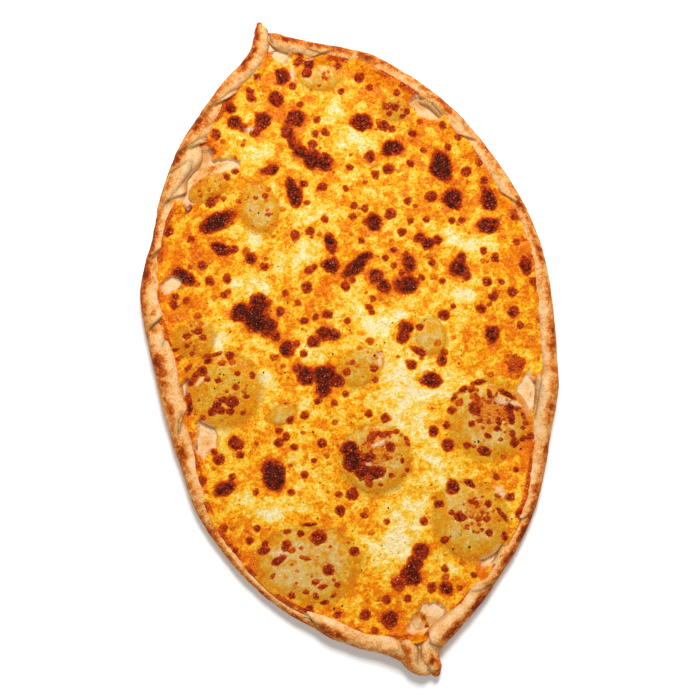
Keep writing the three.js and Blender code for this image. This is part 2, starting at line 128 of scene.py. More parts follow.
# The relief of the rolls: a seam's step and how it fades, and a crease with its wide shallow valley
SEAM_STEP = 2.9
SEAM_REACH = 9
SEAM_SHARPNESS = 0.8
SEAM_OUTER_FADE = 0.88
CREASE_DEPTH = 1.0
CREASE_WIDTH = 0.42
VALLEY_WIDTH = 1.7
VALLEY_SHARE = 0.4

# Thin creases where two layers of the rolled dough meet: the points of each.
CREASES = [
    [(-43, 128.1), (-48.7, 127.3), (-54.7, 125.2), (-60.5, 123.7)],
    [(-58, 117.4), (-61.9, 116), (-67, 114.5)],
    [(-54, 116.7), (-55.6, 112.7), (-62.7, 106.6)],
    [(-62.7, 106.6), (-67.9, 103.2), (-72.6, 99)],
    [(-81.2, 76.3), (-83.9, 74.8), (-87.7, 72.9)],
    [(-84, 62.8), (-85.2, 59.3), (-86.4, 55.8)],
    [(-92, 40.5), (-94.8, 39.4), (-97.8, 37.1)],
    [(-91.5, 33.1), (-91.7, 29.9), (-93.8, 27.4)],
    [(-93.3, -10.4), (-95.7, -13.4), (-97.5, -18.9)],
    [(-93.3, -10.4), (-92.4, -19.2), (-91.2, -27.2), (-89.6, -33.6)],
    [(-93.7, -59.3), (-91.5, -66.7), (-91.1, -71.8)],
    [(-83.4, -89.4), (-82.1, -93.6), (-80.7, -99.4)],
    [(-58.4, -130.9), (-54.9, -133.4), (-49.2, -139.9)],
    [(-16.1, -152.2), (-12.6, -155.3), (-11.6, -159.9)],
    [(-4.7, -159), (-4.6, -163.2), (-6.8, -170.1)],
    [(-1.8, -171.4), (-2.2, -174.6), (-0.8, -178.7)],
    [(1.9, -160.8), (3.7, -161.8), (6, -164)],
    [(30.7, -140.4), (35.5, -140.9), (44.3, -139.1)],
    [(8.8, -150.2), (15.7, -147.5), (22.9, -144)],
    [(103, 53), (105, 48.1), (105.5, 39.8)],
    [(89.7, 100.5), (90.4, 97)],
    [(74.9, 116.8), (77.7, 112.3), (80.4, 106.2)],
    [(65.3, 123.7), (70.4, 119.7), (75.4, 115.2)],
    [(34.2, 150.2), (36.1, 148.2), (41.5, 146.6), (47.1, 145), (51.1, 141.6)],
    [(20, 159.5), (25, 156), (28, 153), (31, 152)],
    [(-17, 149), (-25, 147.5), (-30, 145.5), (-36, 143.5), (-42, 139)],
    [(97.5, -35.6), (95.6, -39.6), (91.5, -48.8), (88.3, -56.3), (85.7, -60.5)],
    [(61.9, -109.8), (60.4, -112.7)],
    [(49, -124.6), (42.5, -130.3), (31.3, -134.8)],
    [(2.5, 175), (2.9, 171), (3, 167.5)],
]

# Potato slices: x, y, half axes, turn, rise over the cheese, and tone from 0, pale beige, to 1, golden.
SLICES = [
    (-69, -4, 19.8, 20, 0, 1.3, 0.75),
    (-49.5, -105, 27.5, 20.5, -14, 1.0, 0.32),
    (-0.5, -60, 19, 19, 0, 2.0, 0.4),
    (63, -55.5, 21.5, 20.5, 0, 1.2, 0.35),
    (39.5, -104.5, 19.5, 21, 10, 1.3, 0.45),
    (4, -11, 13, 9.5, 12, 0.7, 0.55),
    (44.5, -5, 8.5, 10, 0, 0.7, 0.5),
    (-77, 26, 11.5, 9.5, 0, 0.6, 0.85),
    (-26, 84, 10.5, 13.5, 0, 0.7, 0.5),
    (-49, 101.5, 11.5, 7, 14, 0.6, 0.9),
    (23, 143, 11, 7.5, -18, 0.6, 0.45),
    (57, 117, 7.5, 7, 0, 0.5, 0.7),
    (-42, -24, 8, 5.5, 0, 0.5, 0.55),
]
SLICE_SHORE = 0.95  # share of a slice's oval at which it rises out of the cheese
SLICE_RISE = 1.3  # how much the rises above are worth

# Bare dough beside the rolls: x, y, half axes and turn.
BARE_PATCHES = [
    (-54, 110, 16, 7, 50),
    (-42, 111, 12, 3.6, -3),
    (6, 160, 4, 5.5, 20),
    (73, 113, 10, 4.5, -46),
    (-81.5, 57, 5.5, 3, 20),
    (-85, -26, 9.5, 5.5, 65),
    (84, -50, 12, 5.5, 62),
    (45.5, -123.5, 9, 5, 40),
    (4, -147, 12, 6, 22),
    (-86, 3, 6, 3.5, 15),
]

# Zones where the cheese stayed pale: x, y and reach along X and Y.
PALE_ZONES = [
    (33, 108, 9, 9), (3, 75, 12, 7), (-13, 55, 18, 9), (-47, 48, 9, 6), (-66, 23, 7, 8), (7, 22, 10, 9),
    (24, 9, 11, 7), (-16, 6, 10, 8), (25, -27, 12, 18), (42, -32, 10, 7), (29, -66, 8, 15),
    (10, -88, 11, 12), (-3, -107, 16, 11), (-60, -72, 11, 7), (70, 45, 8, 6), (68, 13, 6, 4),
    (80, 37, 6, 4), (-20, 112, 10, 4), (22, -125, 6, 5), (-34, 42, 8, 6), (-28, 128, 8, 6),
    (27, 126, 8, 6), (-34, 70, 9, 7), (-46, -4, 6, 7), (20, -43, 9, 7),
]

# Browned blisters in the cheese: x, y, half axes, turn and depth of browning.
BLISTERS = [
    (-49, 34, 5.5, 5.5, 0, 1), (-38, 36, 5, 5, 0, 1), (-43, 29, 7, 7, 0, 1), (-38, 23, 5, 5, 0, 0.95),
    (-35, 17.5, 2.5, 3, 0, 0.85), (-28, -2.5, 2.5, 2.5, 0, 0.85), (-24, -7.5, 5, 4.5, 0, 0.95),
    (-15.5, -10, 7, 6, 0, 0.97), (-18, -17, 4, 4, 0, 0.93), (-10, -14, 4, 4, 0, 0.93),
    (5, 126, 5, 4.5, 0, 0.9), (-1, 120, 3, 4, 0, 0.88), (0, 114, 2.5, 4, 0, 0.88),
    (3, 108, 3.5, 4, 0, 0.92), (8, 102, 5.5, 5, 0, 0.98), (13, 99, 4.5, 4.5, 0, 0.95),
    (-49, 84, 10, 4.5, 12, 0.98), (-6, 88, 3.5, 8, 0, 0.98), (73, 81, 5.5, 8.5, 0, 0.98),
    (74.5, 63.5, 6, 5.2, 0, 0.98), (92.5, 58, 4.3, 6, 0, 1), (89, 44.6, 5.5, 4.3, 0, 0.97),
    (31, 62.5, 4.7, 4.7, 0, 0.98), (16, 42, 9, 4, 25, 0.98), (38.8, 25.4, 6.3, 5, 0, 0.98),
    (24.5, 34, 4, 4, 0, 0.92), (27, 28, 4, 4, 0, 0.92), (67.6, 27.5, 5, 4.5, 0, 0.96),
    (71, 32, 2.3, 2.3, 0, 0.85), (71, 22, 2.3, 2.3, 0, 0.85), (3.4, 45.5, 4.7, 4.5, 0, 0.96),
    (-16, 9, 3, 3, 0, 0.88), (-9, 12, 4.2, 3.8, 0, 0.92), (-5, 9.5, 3, 3, 0, 0.9),
    (33.4, 3.3, 3.6, 3.6, 0, 0.93), (30, -1, 3.5, 3.5, 0, 0.93), (40, 1.7, 1.8, 1.8, 0, 0.8),
    (76, -11.7, 4, 5, 0, 0.98), (38.4, -27, 5.5, 3.7, -25, 0.98), (-55, -55, 5.8, 8.8, 0, 0.98),
    (-82, -54, 6.5, 4, 15, 0.98), (-70, -32.5, 3.7, 3.7, 0, 0.96), (10.5, -113, 4.2, 4.2, 0, 0.93),
    (6, -118, 4.2, 4, 0, 0.95), (2, -123.5, 5.5, 5.5, 0, 0.98), (-15.5, -143, 4.7, 4.7, 0, 0.98),
    (18.4, -135, 3.5, 3.8, 0, 0.97), (50.5, 97, 6, 4.3, 10, 0.94), (38.4, 114.6, 5.5, 4, 0, 0.98),
    (-74, 60, 6, 4, -45, 0.98), (-51, 69, 5.2, 3.6, -40, 0.96), (3.8, 148.5, 3.6, 4.7, 0, 1),
    (-12, 129, 4.2, 4.2, 0, 0.97), (-27, 132, 3.7, 3.6, 0, 0.98), (-23, 127.5, 2.4, 2.2, 0, 0.97),
    (-2.6, 138, 4, 4, 0, 0.92), (-27, 139.6, 3, 3, 0, 0.9), (-15, 102.5, 4.5, 3, 0, 0.97),
    (6, 57.5, 3, 6, 0, 0.92), (43, 36, 3.5, 5, 0, 0.93), (52, 48, 3, 2.2, 0, 0.92),
    (55.5, 44, 3.5, 3.3, 0, 0.92), (61, 44, 2.3, 2.3, 0, 0.95), (102.6, 19, 3.2, 5, 0, 0.92),
    (-31, 9, 4, 4, 0, 0.92), (-5.5, -126, 4, 3.6, 0, 0.8), (84, -31, 5, 4, 0, 0.72),
]

# Smaller browned dots in the cheese: x, y and radius.
DOTS = [
    (-14.7, 146, 1.8), (-15, 142, 2.2), (-9, 152, 1.8), (-17, 124, 2.6), (-38, 128, 2.4), (-42, 120, 2.2),
    (-33, 107, 1.7), (-38, 105, 1.7), (-50, 94, 2.8), (-62, 94, 2.2), (-75.5, 85, 2.6), (0, 91, 2.2),
    (-44, 67, 2.2), (-65, 78, 2), (-63, 63, 2.4), (-11, 66, 2.4), (-3, 66, 2.2), (14, 154, 2.3),
    (16, 158, 1.9), (19, 151, 3), (17, 147, 2.6), (8, 142.5, 1.9), (34, 147, 1.8), (43, 137.5, 2.9),
    (32, 133, 1.6), (47, 131, 1.9), (9, 132, 1.6), (15.5, 122, 1.7), (13, 115, 1.7), (18, 115, 1.7),
    (10, 110, 2.3), (42, 112, 1.8), (49, 110, 2.7), (53, 107, 1.8), (53, 119, 1.8), (60, 124.6, 1.8),
    (62.6, 114, 1.5), (69, 114, 1.6), (61, 135, 1.8), (64, 128, 1.6), (68, 107, 1.5), (63, 102, 2),
    (79, 102, 1.8), (38, 96, 3), (26, 93, 1.7), (9, 87, 2.6), (45.5, 87, 2.9), (38, 86, 2), (57.6, 87, 2),
    (21, 83, 1.5), (79, 90, 1.8), (93, 78, 2), (85, 75, 2.6), (86, 94, 1.9), (23, 73, 1.9), (28, 70, 1.7),
    (21, 67.5, 1.8), (40.5, 64, 2.7), (51, 68, 1.9), (64, 67, 3.2), (93, 68, 2), (6, 70, 1.8),
    (-79, 58, 1.8), (-61, 54, 2.6), (-52, 53, 2.4), (-56, 45, 1.8), (-81, 51, 2), (-82.6, 47, 2.4),
    (-76, 47, 1.9), (-37, 60, 3.3), (-31, 54, 2), (-29, 29, 2.4), (-24, 37.5, 1.7), (-12, 37.5, 2.7),
    (-9, 46, 2.3), (-5.5, 47, 1.7), (-19, 31, 1.7), (-18, 21, 2), (-12, 21, 1.9), (-5.5, 21, 2.6),
    (-25.5, 10, 1.8), (-23, 4, 1.8), (-3.4, -11, 2), (-22, -22, 1.9), (-14, -25, 1.8), (-7, -22, 1.6),
    (-39, -28, 2), (-31, -27.5, 2), (-46, -32, 1.9), (-43, -36, 2.1), (-48, -38, 2.4),
    (-40.5, -42.5, 1.8), (-26, -44, 2.6), (2, -35.5, 1.8), (-69, -39, 1.9), (-80.5, -39, 2.9),
    (-82, -34, 1.8), (-92, -47, 2.3), (-76, -49, 1.8), (-39, -58, 2), (-48, -65, 1.8), (22, 54, 1.8),
    (44, 53, 2.3), (50, 57.5, 1.7), (58, 56, 1.8), (71, 52, 1.7), (76, 51, 1.8), (37, 45, 1.8),
    (32, 42, 1.7), (43, 41, 1.7), (35, 37, 1.7), (38, 32, 1.8), (55, 33, 1.8), (48, 27, 1.7),
    (83, 32, 1.8), (88, 27, 2.4), (101, 32, 1.7), (103, 45, 1.8), (104, 10, 2), (81, 16, 2.5),
    (17, 19, 1.8), (20, 23, 1.6), (17.6, 16, 1.6), (7.6, 33, 2.4), (12, 35, 1.6), (4, 15, 1.7),
    (58, 22.5, 1.7), (82, 7.5, 2.6), (92, 7.5, 2.6), (74, 3, 2.7), (90, -3, 2.9), (54, 5, 2.6),
    (92, -11, 1.9), (31, -16, 2.4), (49, -14, 1.7), (47, -18, 2.7), (10, -19, 1.6), (44.7, -45, 2.2),
    (40.5, -52, 2), (33, -53, 2.6), (10, -40, 2.3), (90.5, -43, 2), (38.4, -62.5, 3.6), (48, -65, 1.9),
    (-17, -74, 3.2), (-24, -72.5, 1.7), (-25.5, -81, 2.7), (-14, -87, 1.8), (-87, -74, 1.9),
    (-76, -84, 2.2), (-70.5, -79, 1.9), (-85, -87, 1.8), (-10, -67, 1.7), (59, -85, 1.8), (63, -97, 2.2),
    (16, -98, 2), (66, -107, 2.8), (-3, -135, 2), (-14, -133, 2.4), (-27, -137.5, 2.8), (-24, -147, 1.8),
    (-41, -134, 1.9), (20, -125, 1.9), (25, -137, 1.6), (10.5, -133, 2.5), (34, -132, 1.6),
    (-66, -60, 1.6), (60, 8, 1.5), (-3, -93, 1.4), (-32, -52, 1.5), (70, -84, 1.5), (88, 14, 1.6),
    (66, 92, 1.6), (-21, 90, 1.4),
]

# Browned spots on the potato slices: x, y, half axes, turn and depth of browning.
SLICE_SPOTS = [
    (-77, -13, 2.6, 2.2, 0, 0.85), (-74, -10.5, 2.6, 2, 30, 0.88), (-70.5, -8.5, 2, 1.7, 0, 0.82),
    (-66, -10.5, 3.3, 3, 0, 0.86), (-68, -15.5, 1.9, 1.7, 0, 0.85), (-73, -14, 2.2, 1.6, 0, 0.82),
    (-84, 5, 3.2, 1.9, 20, 0.8), (-81, 8, 2.2, 1.7, 40, 0.8), (-77, 9, 2.6, 2.4, 0, 0.9),
    (-75.5, 4, 1.5, 1.3, 0, 0.82), (-72.6, 13.3, 2.1, 1.5, 10, 0.84), (-60.8, 13, 2, 2, 0, 0.86),
    (-84, 12.5, 2.4, 1.2, 30, 0.76), (-70, 15.8, 5.5, 1.1, 0, 0.72), (-59.3, 2.8, 1.4, 1.1, 0, 0.88),
    (-70, 1.9, 1.4, 1.2, 0, 0.84), (-52, 0.3, 1.4, 1.7, 0, 0.82), (-58, -10, 1.5, 1, 0, 0.9),
    (-62, -3.5, 1.3, 1.5, 0, 0.74), (-88.5, -8, 1.6, 3, 0, 0.88), (-88, -3, 1.8, 4, 0, 0.76),
    (-62, -18, 1.3, 1, 0, 0.8), (-83, -15, 1.3, 1.3, 0, 0.72), (-66, 10.5, 2, 1.3, 0, 0.68),
    (-40, -91.5, 3.8, 3.6, 0, 0.86), (-58, -91.5, 2.7, 2.2, 40, 0.86), (-70, -91, 3, 2, 10, 0.84),
    (-68.5, -88, 1.8, 1.7, 0, 0.88), (-63.5, -98, 3.6, 2, 12, 0.88), (-49, -87.5, 1.7, 1.5, 40, 0.88),
    (-55.5, -84.6, 2, 1, 0, 0.8), (-43, -84, 4, 1.2, -10, 0.82), (-24, -104, 2.4, 2.4, 0, 0.88),
    (-40, -109.5, 2.8, 2.6, 20, 0.87), (-62, -117.8, 2, 1.9, 0, 0.86), (-69, -105.5, 1.6, 1, 30, 0.76),
    (-48, -114, 1.9, 1.5, 0, 0.72), (-44.5, -117.5, 2.2, 1, 0, 0.76), (-37, -118.3, 1.4, 1.3, 0, 0.76),
    (-49.5, -121.5, 1.6, 2, 0, 0.78), (-46, -126, 2, 1.2, 0, 0.84), (-55.5, -127.3, 3.2, 1.7, 15, 0.9),
    (-60.5, -128, 2, 1.4, -20, 0.9), (-80, -100, 1.2, 2.2, 0, 0.86), (-54, -118, 1.3, 1.2, 0, 0.72),
    (-50, -100.5, 3, 1.2, -30, 0.66), (-56, -94.5, 2, 1.4, 0, 0.66), (-40.5, -123.5, 1.5, 0.9, 20, 0.74),
    (-12, -50, 4.8, 4, 0, 0.93), (-12.5, -57, 5.2, 6, 0, 0.99), (-8, -63.5, 4.6, 4, 0, 0.97),
    (-1, -66, 4.2, 3.3, 0, 0.95), (-6, -68.5, 2.2, 2, 0, 0.88), (8.6, -55, 2.5, 2.4, 0, 0.87),
    (-4, -57.5, 4, 2.5, 0, 0.84), (1, -47.5, 3.5, 1.8, 25, 0.74), (8, -48, 3.5, 1.4, 0, 0.76),
    (14, -48.3, 1.4, 1.1, 0, 0.8), (1, -55, 9, 7, 0, 0.52), (5.5, -70, 1.4, 1.2, 0, 0.8),
    (14.2, -69.5, 1, 1, 0, 0.84), (13, -64, 1, 1.3, 0, 0.84), (18, -54.5, 1.2, 3, 10, 0.7),
    (-1.5, -73.3, 1.1, 1, 0, 0.78), (-7, -71, 2, 2, 0, 0.7), (54, -35.8, 2.6, 1.3, 15, 0.88),
    (62.5, -34.4, 3.6, 1.4, -8, 0.88), (58, -37, 1.8, 1.6, 0, 0.84), (48, -39, 2.2, 1, 45, 0.78),
    (57, -47, 3.3, 3.1, 0, 0.84), (59.5, -42, 1.5, 2, 0, 0.78), (66.5, -42, 1.2, 2.2, 0, 0.86),
    (75.5, -44, 4.8, 1.5, -48, 0.86), (74.7, -51.5, 3, 2.2, 0, 0.9), (74.5, -56.5, 1.8, 3.4, 0, 0.88),
    (79.6, -52.8, 1.6, 1.1, -40, 0.86), (81, -57.5, 1, 2.2, 20, 0.84), (53.3, -54.5, 1.6, 1.2, 0, 0.86),
    (58, -54, 1.4, 1, 0, 0.74), (67.6, -57, 1.4, 2, 0, 0.85), (65.7, -60.3, 1.7, 1.4, 0, 0.93),
    (60, -62.8, 2, 1.3, -40, 0.85), (81.3, -61.5, 1.5, 1.2, 0, 0.88), (56.3, -70.4, 3.6, 2.5, -30, 0.96),
    (72.6, -70, 2.3, 2.4, 0, 0.98), (73, -65, 1.4, 1.8, 0, 0.78), (77.6, -69, 1.4, 1.5, 0, 0.84),
    (82, -68.6, 2.2, 1.8, 0, 0.8), (65, -50.5, 11, 7, 0, 0.53), (79, -63.5, 1, 1, 0, 0.8),
    (65, -45.8, 1.5, 1, 0, 0.72), (66, -66.5, 1.2, 1, 0, 0.7), (35.5, -84.5, 3.3, 4, 0, 0.96),
    (44, -84.5, 3.5, 1.7, -45, 0.86), (26, -91, 2.3, 2, 0, 0.9), (34.7, -100.4, 3, 2.4, -30, 0.92),
    (43.4, -94.6, 2.8, 1.3, -30, 0.76), (51, -97.5, 1.6, 1.6, 0, 0.82),
    (56.5, -104.5, 1.3, 4.2, 25, 0.86), (48, -105, 1.8, 1.5, 0, 0.74), (47.6, -112.5, 1.7, 1.7, 0, 0.9),
    (24, -110, 2, 1.9, 0, 0.8), (55, -116.5, 1.5, 2.6, 0, 0.88), (44, -104, 1.5, 1.2, 0, 0.7),
    (31, -97, 1.3, 1.2, 0, 0.76), (44, -99, 6, 5, 0, 0.5), (57, -95, 1.6, 1, -40, 0.72),
    (-74, 30, 2.4, 1.8, 0, 0.8), (-80, 29, 2, 1.5, 0, 0.78), (-88, 23.5, 1.7, 1.2, 0, 0.84),
    (-88, 18.5, 1.2, 1, 0, 0.76), (-81.5, 24, 1.1, 1, 0, 0.86), (-72, 26, 1.6, 1.4, 0, 0.72),
    (-26, 90, 1.2, 1, 0, 0.68), (-22, 80, 1.4, 1, 0, 0.66), (-46, 96, 1.6, 1, 0, 0.7),
    (11, -13, 1.8, 1.6, 0, 0.74), (1, -7, 1.2, 1, 0, 0.72), (57, 118, 2.2, 1.6, 0, 0.8),
    (60, 112, 1.6, 1.2, 0, 0.78), (53.5, 115, 1.4, 1.2, 0, 0.74), (36, -10, 4.8, 1.7, -40, 0.82),
]

# Pale streaks of dry cheese: x, y, half axes and turn.
PALE_STREAKS = [
    (3.5, -52, 5, 1.3, 8), (-62, -94.5, 5.2, 1.1, -16), (71.5, -47, 3.8, 2.2, -35), (79, -50.5, 4, 1.4, -38),
    (-79.5, 4, 3.6, 1.1, 35), (-4.5, -61, 2, 1.2, 0), (15, -10.5, 1.5, 3, -10), (59, -93, 4, 2.2, -60),
    (9.5, 149, 1.5, 5, -12), (-20, 126, 3, 1.4, 0), (20, 153.8, 3, 0.8, 10), (16, -7, 1.5, 2, 0),
]

# Freckles of browned milk: middle of a cluster, its reach, their number and depth of browning.
FRECKLES = [
    (-70, -6, 14, 16, 0.68), (2, -54, 9, 24, 0.74), (67, -52, 12, 34, 0.74), (45, -102, 10, 26, 0.72),
    (-48, -108, 19, 22, 0.66), (-77, 26, 8, 8, 0.7), (-26, 84, 9, 5, 0.62), (-49, 101, 9, 8, 0.68),
    (57, 117, 4, 6, 0.7), (4, -11, 9, 5, 0.64), (84, -31, 6, 12, 0.74), (23, 143, 8, 4, 0.62),
]
LOOSE_FRECKLES = {"count": 380, "smallest": 0.5, "largest": 2.0, "shallow": 0.5, "deep": 0.7, "seed": 5}

# Where loose freckles and fine grains of pepper may lie: left and lower end, right and upper end.
FIELD_LOW = (-95, -150)
FIELD_HIGH = (105, 158)

# Grains of pepper that stand out: x, y and radius.
LARGE_GRAINS = [
    (13, -6.5, 1.0), (4, 10, 0.6), (-8, 0, 0.5), (-46, 0, 0.6), (-35, -3, 0.5), (-39, -19, 0.6),
    (55, -22, 0.6), (27, -116, 0.6), (35.5, -117, 0.8), (27.5, -109, 0.5), (54.5, -64.5, 0.7),
    (52.6, -64.2, 0.5), (75, -74, 0.7), (68.3, -43.8, 0.5), (-42, -130.4, 0.7), (-37.5, -130, 0.5),
    (-29, -37, 0.6), (-47, 108.5, 0.6), (-44.6, 104.3, 0.5), (-41.2, 108, 0.6), (-48.5, 105.6, 0.4),
    (-64, -80.5, 0.5), (-38, -82, 0.6), (-66.5, 4.2, 0.6), (-59.8, -1.8, 0.7), (-73, -1.6, 0.6),
    (-22, 94.8, 0.5), (-30, 91.5, 0.5), (-43, 93, 0.6), (-8.8, 146.4, 0.6), (32.5, 144.9, 0.4),
    (-0.6, -86.4, 0.6), (61, -108.5, 0.6), (52.5, -86.5, 0.5), (-17.5, 61, 0.4), (17, 93, 0.5),
    (-28.5, -37.5, 0.5), (-26.8, 82, 0.5), (66.5, -11.5, 0.4), (57.5, -18.5, 0.5), (-88.5, 24, 0.4),
    (10.5, -62.5, 0.4),
]
FINE_GRAINS = {"count": 170, "smallest": 0.22, "largest": 0.42, "seed": 11}
GRAIN_RINGS = 4
GRAIN_SIDES = 6

# Browned spots on the rolls: x, y, half axes, turn and how much darker they are.
CRUST_SPOTS = [
    (-14, 159.5, 8, 2.6, 38, 0.55), (-45, 134, 5, 3, 40, 0.5), (-61, 121.5, 6, 2.6, 35, 0.5),
    (-70, 115, 3, 2.5, 40, 0.3), (-92, 66, 4, 6, -20, 0.5), (-84, 84, 2.5, 7, -20, 0.3),
    (-98, 20, 3, 3.5, 0, 0.55), (-97.5, 14, 3, 3.6, 0, 0.6), (-98, 8, 2.2, 2, 0, 0.4),
    (-98, -6, 2.8, 3.2, 0, 0.6), (-98, -30, 3, 6, 0, 0.65), (-94, 45, 2, 2.4, 0, 0.4),
    (-96, 37, 2.5, 3, 0, 0.3), (-46, -141, 9, 2.6, -45, 0.6), (-11, -160, 2.2, 8, 15, 0.6),
    (1.2, -169.5, 1.8, 2.8, -20, 0.65), (13.5, -158, 5.5, 2.4, 35, 0.45), (33, -146.5, 9, 2.6, 32, 0.6),
    (53, -128, 4.5, 2.2, 45, 0.5), (65, -116.5, 4, 1.8, 50, 0.45), (76.5, -95.5, 2, 3, -30, 0.55),
    (89, -77, 2, 5, -25, 0.6), (95, -56, 2.6, 2, 0, 0.45), (103.5, -25, 2.5, 2.6, 0, 0.4),
    (107.5, -17, 2, 3, 0, 0.35), (111, 25, 2, 8, 5, 0.5), (107, 52, 2.2, 5, 15, 0.4),
    (99, 86, 2.2, 5, 25, 0.35), (50, 145.5, 5.5, 2.2, -38, 0.65), (36, 156, 5, 1.8, -20, 0.5),
    (12, 166.5, 5, 1.6, -20, 0.35), (-1, 178, 2, 2.5, 0, 0.45), (24, 160, 5, 1.4, -20, 0.3),
    (84, 108, 5, 1.6, -50, 0.3), (-72, -112, 1.6, 8, 35, 0.4), (-92, -75, 1.6, 9, 12, 0.35),
    (-96, -52, 2, 5, 8, 0.35), (1.5, -177, 3, 2, 0, 0.35),
]

# Browned streaks on the bare dough, with the same values.
DOUGH_SPOTS = [
    (-4.2, -146, 2.6, 1.4, 45, 0.9), (-0.8, -144.2, 2.6, 1.4, -15, 0.95), (2.2, -147.5, 1.4, 3, 15, 0.95),
    (3, -152.5, 1.2, 4.2, 0, 0.85), (-43, 111.5, 7, 2, 8, 0.4), (-54, 107, 2.5, 6, -40, 0.3),
    (-84, -28, 3, 4, 0, 0.15), (-87, 0, 3, 2, 0, 0.2), (80, -47, 3, 2, 0, 0.15),
]

# The surface that carries the filling, and the steps of its grid.
SHEET_ROWS = 240
SHEET_COLUMNS = 110
CHEESE_ROWS = 384
CHEESE_COLUMNS = 244
UNDERSIDE_COLUMNS = 6
SHEET_ENDS = (-172.5, 168)
CHEESE_ENDS = (-159.5, 163)
SLICE_RINGS = 52
SLICE_SIDES = 180
SLICE_FOOT_SHARES = (1.02, 1.0, 0.5)  # share of a slice's oval for the rings of its side and underside
MEAN_WARMTH = 0.43
BLISTER_EDGE = 0.72  # how browned the edge of a blister is at most


def linear(hex_colour):
    """An sRGB colour such as F3DDB4 as the linear red, green, blue and alpha that a shader takes."""
    parts = [int(hex_colour[i : i + 2], 16) / 255 for i in (0, 2, 4)]
    return [p / 12.92 if p <= 0.04045 else ((p + 0.055) / 1.055) ** 2.4 for p in parts] + [1.0]


def set_inputs(tree, node, inputs):
    """Gives each input of a shader node its value, or a link where the value is another node's socket."""
    for name, value in inputs.items():
        if isinstance(value, bpy.types.NodeSocket):
            tree.links.new(value, node.inputs[name])
        else:
            node.inputs[name].default_value = value


def add_node(tree, kind, inputs, output=0, stops=(), **settings):
    """Adds one shader node with its settings and inputs, and gives back one of its outputs. stops are the
    places and sRGB hex colours of a colour ramp."""
    made = tree.nodes.new(kind)
    for name, value in settings.items():
        setattr(made, name, value)
    set_inputs(tree, made, inputs)
    if stops:
        elements = made.color_ramp.elements
        while len(elements) < len(stops):
            elements.new(1.0)
        for element, (place, colour) in zip(elements, stops):
            element.position = place
            element.color = linear(colour)
    return made.outputs[output]


def random_at(column, row, seed):
    """A number from -1 to 1 for each corner of a square lattice: the far digits of a large sine."""
    value = np.sin(column * 127.1 + row * 311.7 + seed * 74.7) * 43758.5453
    return 2 * (value - np.floor(value)) - 1


def noise(x, y, cell, seed):
    """Smooth noise from -1 to 1: random values at lattice corners, with an eased blend between them."""
    column, row = np.floor(x / cell), np.floor(y / cell)
    across, up = x / cell - column, y / cell - row
    across, up = across * across * (3 - 2 * across), up * up * (3 - 2 * up)
    lower = random_at(column, row, seed) * (1 - across) + random_at(column + 1, row, seed) * across
    upper = random_at(column, row + 1, seed) * (1 - across) + random_at(column + 1, row + 1, seed) * across
    return lower * (1 - up) + upper * up


def layered_noise(x, y, cell, seed, layers=3):
    """Noise whose finer layers have half the cell and half the strength, turned against each other."""
    total, strength, reach = 0, 1, 0
    for layer in range(layers):
        turn = 0.6 + 1.1 * layer
        turned_x = x * math.cos(turn) - y * math.sin(turn)
        turned_y = x * math.sin(turn) + y * math.cos(turn)
        total = total + strength * noise(turned_x, turned_y, cell / 2**layer, seed + 7 * layer)
        reach += strength
        strength *= 0.5
    return total / reach


def ease(value, start, end):
    """0 before start, 1 after end, and a smooth step between them."""
    share = np.clip((value - start) / (end - start), 0, 1)
    return share * share * (3 - 2 * share)


def oval_distance(x, y, spot, unevenness=0.0, seed=0):
    """Distance from the middle of an oval in units of its half axes, so that 1 is its edge, which noise
    of the spot's own size makes uneven."""
    turn = math.radians(spot[4]) if len(spot) > 4 else 0.0
    dx, dy = x - spot[0], y - spot[1]
    along = (dx * math.cos(turn) + dy * math.sin(turn)) / spot[2]
    across = (dy * math.cos(turn) - dx * math.sin(turn)) / spot[3]
    distance = np.hypot(along, across)
    if unevenness:
        cell = 0.35 * (spot[2] + spot[3]) + 0.6
        distance = distance * (1 + unevenness * layered_noise(x, y, cell, seed + spot[0], layers=2))
    return distance


def at_stations(stations, y):
    """A value between stations given from the top downwards, with an eased change between two of them."""
    heights = np.array([station[0] for station in stations][::-1], float)
    values = np.array([station[1] for station in stations][::-1], float)
    upper = np.clip(np.searchsorted(heights, y), 1, len(heights) - 1)
    share = ease(y, heights[upper - 1], heights[upper])
    return values[upper - 1] + (values[upper] - values[upper - 1]) * share


def curve_through(points, steps):
    """A curve through points, as evenly spaced points: each stretch is a cubic whose end slopes come from
    its neighbours, with stretches timed by the square root of their length (centripetal Catmull-Rom)."""
    points = np.array(points, float)
    points = np.vstack([2 * points[0] - points[1], points, 2 * points[-1] - points[-2]])
    before, start, end, after = points[:-3], points[1:-2], points[2:-1], points[3:]
    time = np.sqrt(np.linalg.norm(np.diff(points, axis=0), axis=1))[:, None]
    first, middle, last = time[:-2], time[1:-1], time[2:]
    slope_in = middle * (
        (start - before) / first - (end - before) / (first + middle) + (end - start) / middle
    )
    slope_out = middle * (
        (end - start) / middle - (after - start) / (middle + last) + (after - end) / last
    )
    share = np.linspace(0, 1, CURVE_STEPS, endpoint=False)[None, :, None]
    cubic = 2 * start - 2 * end + slope_in + slope_out
    square = -3 * start + 3 * end - 2 * slope_in - slope_out
    start, slope_in, square, cubic = (part[:, None] for part in (start, slope_in, square, cubic))
    fine = start + slope_in * share + square * share**2 + cubic * share**3
    fine = np.vstack([fine.reshape(-1, 2), points[-2]])
    travelled = np.concatenate([[0], np.cumsum(np.linalg.norm(np.diff(fine, axis=0), axis=1))])
    wanted = np.linspace(0, travelled[-1], steps)
    return np.column_stack([np.interp(wanted, travelled, column) for column in fine.T])


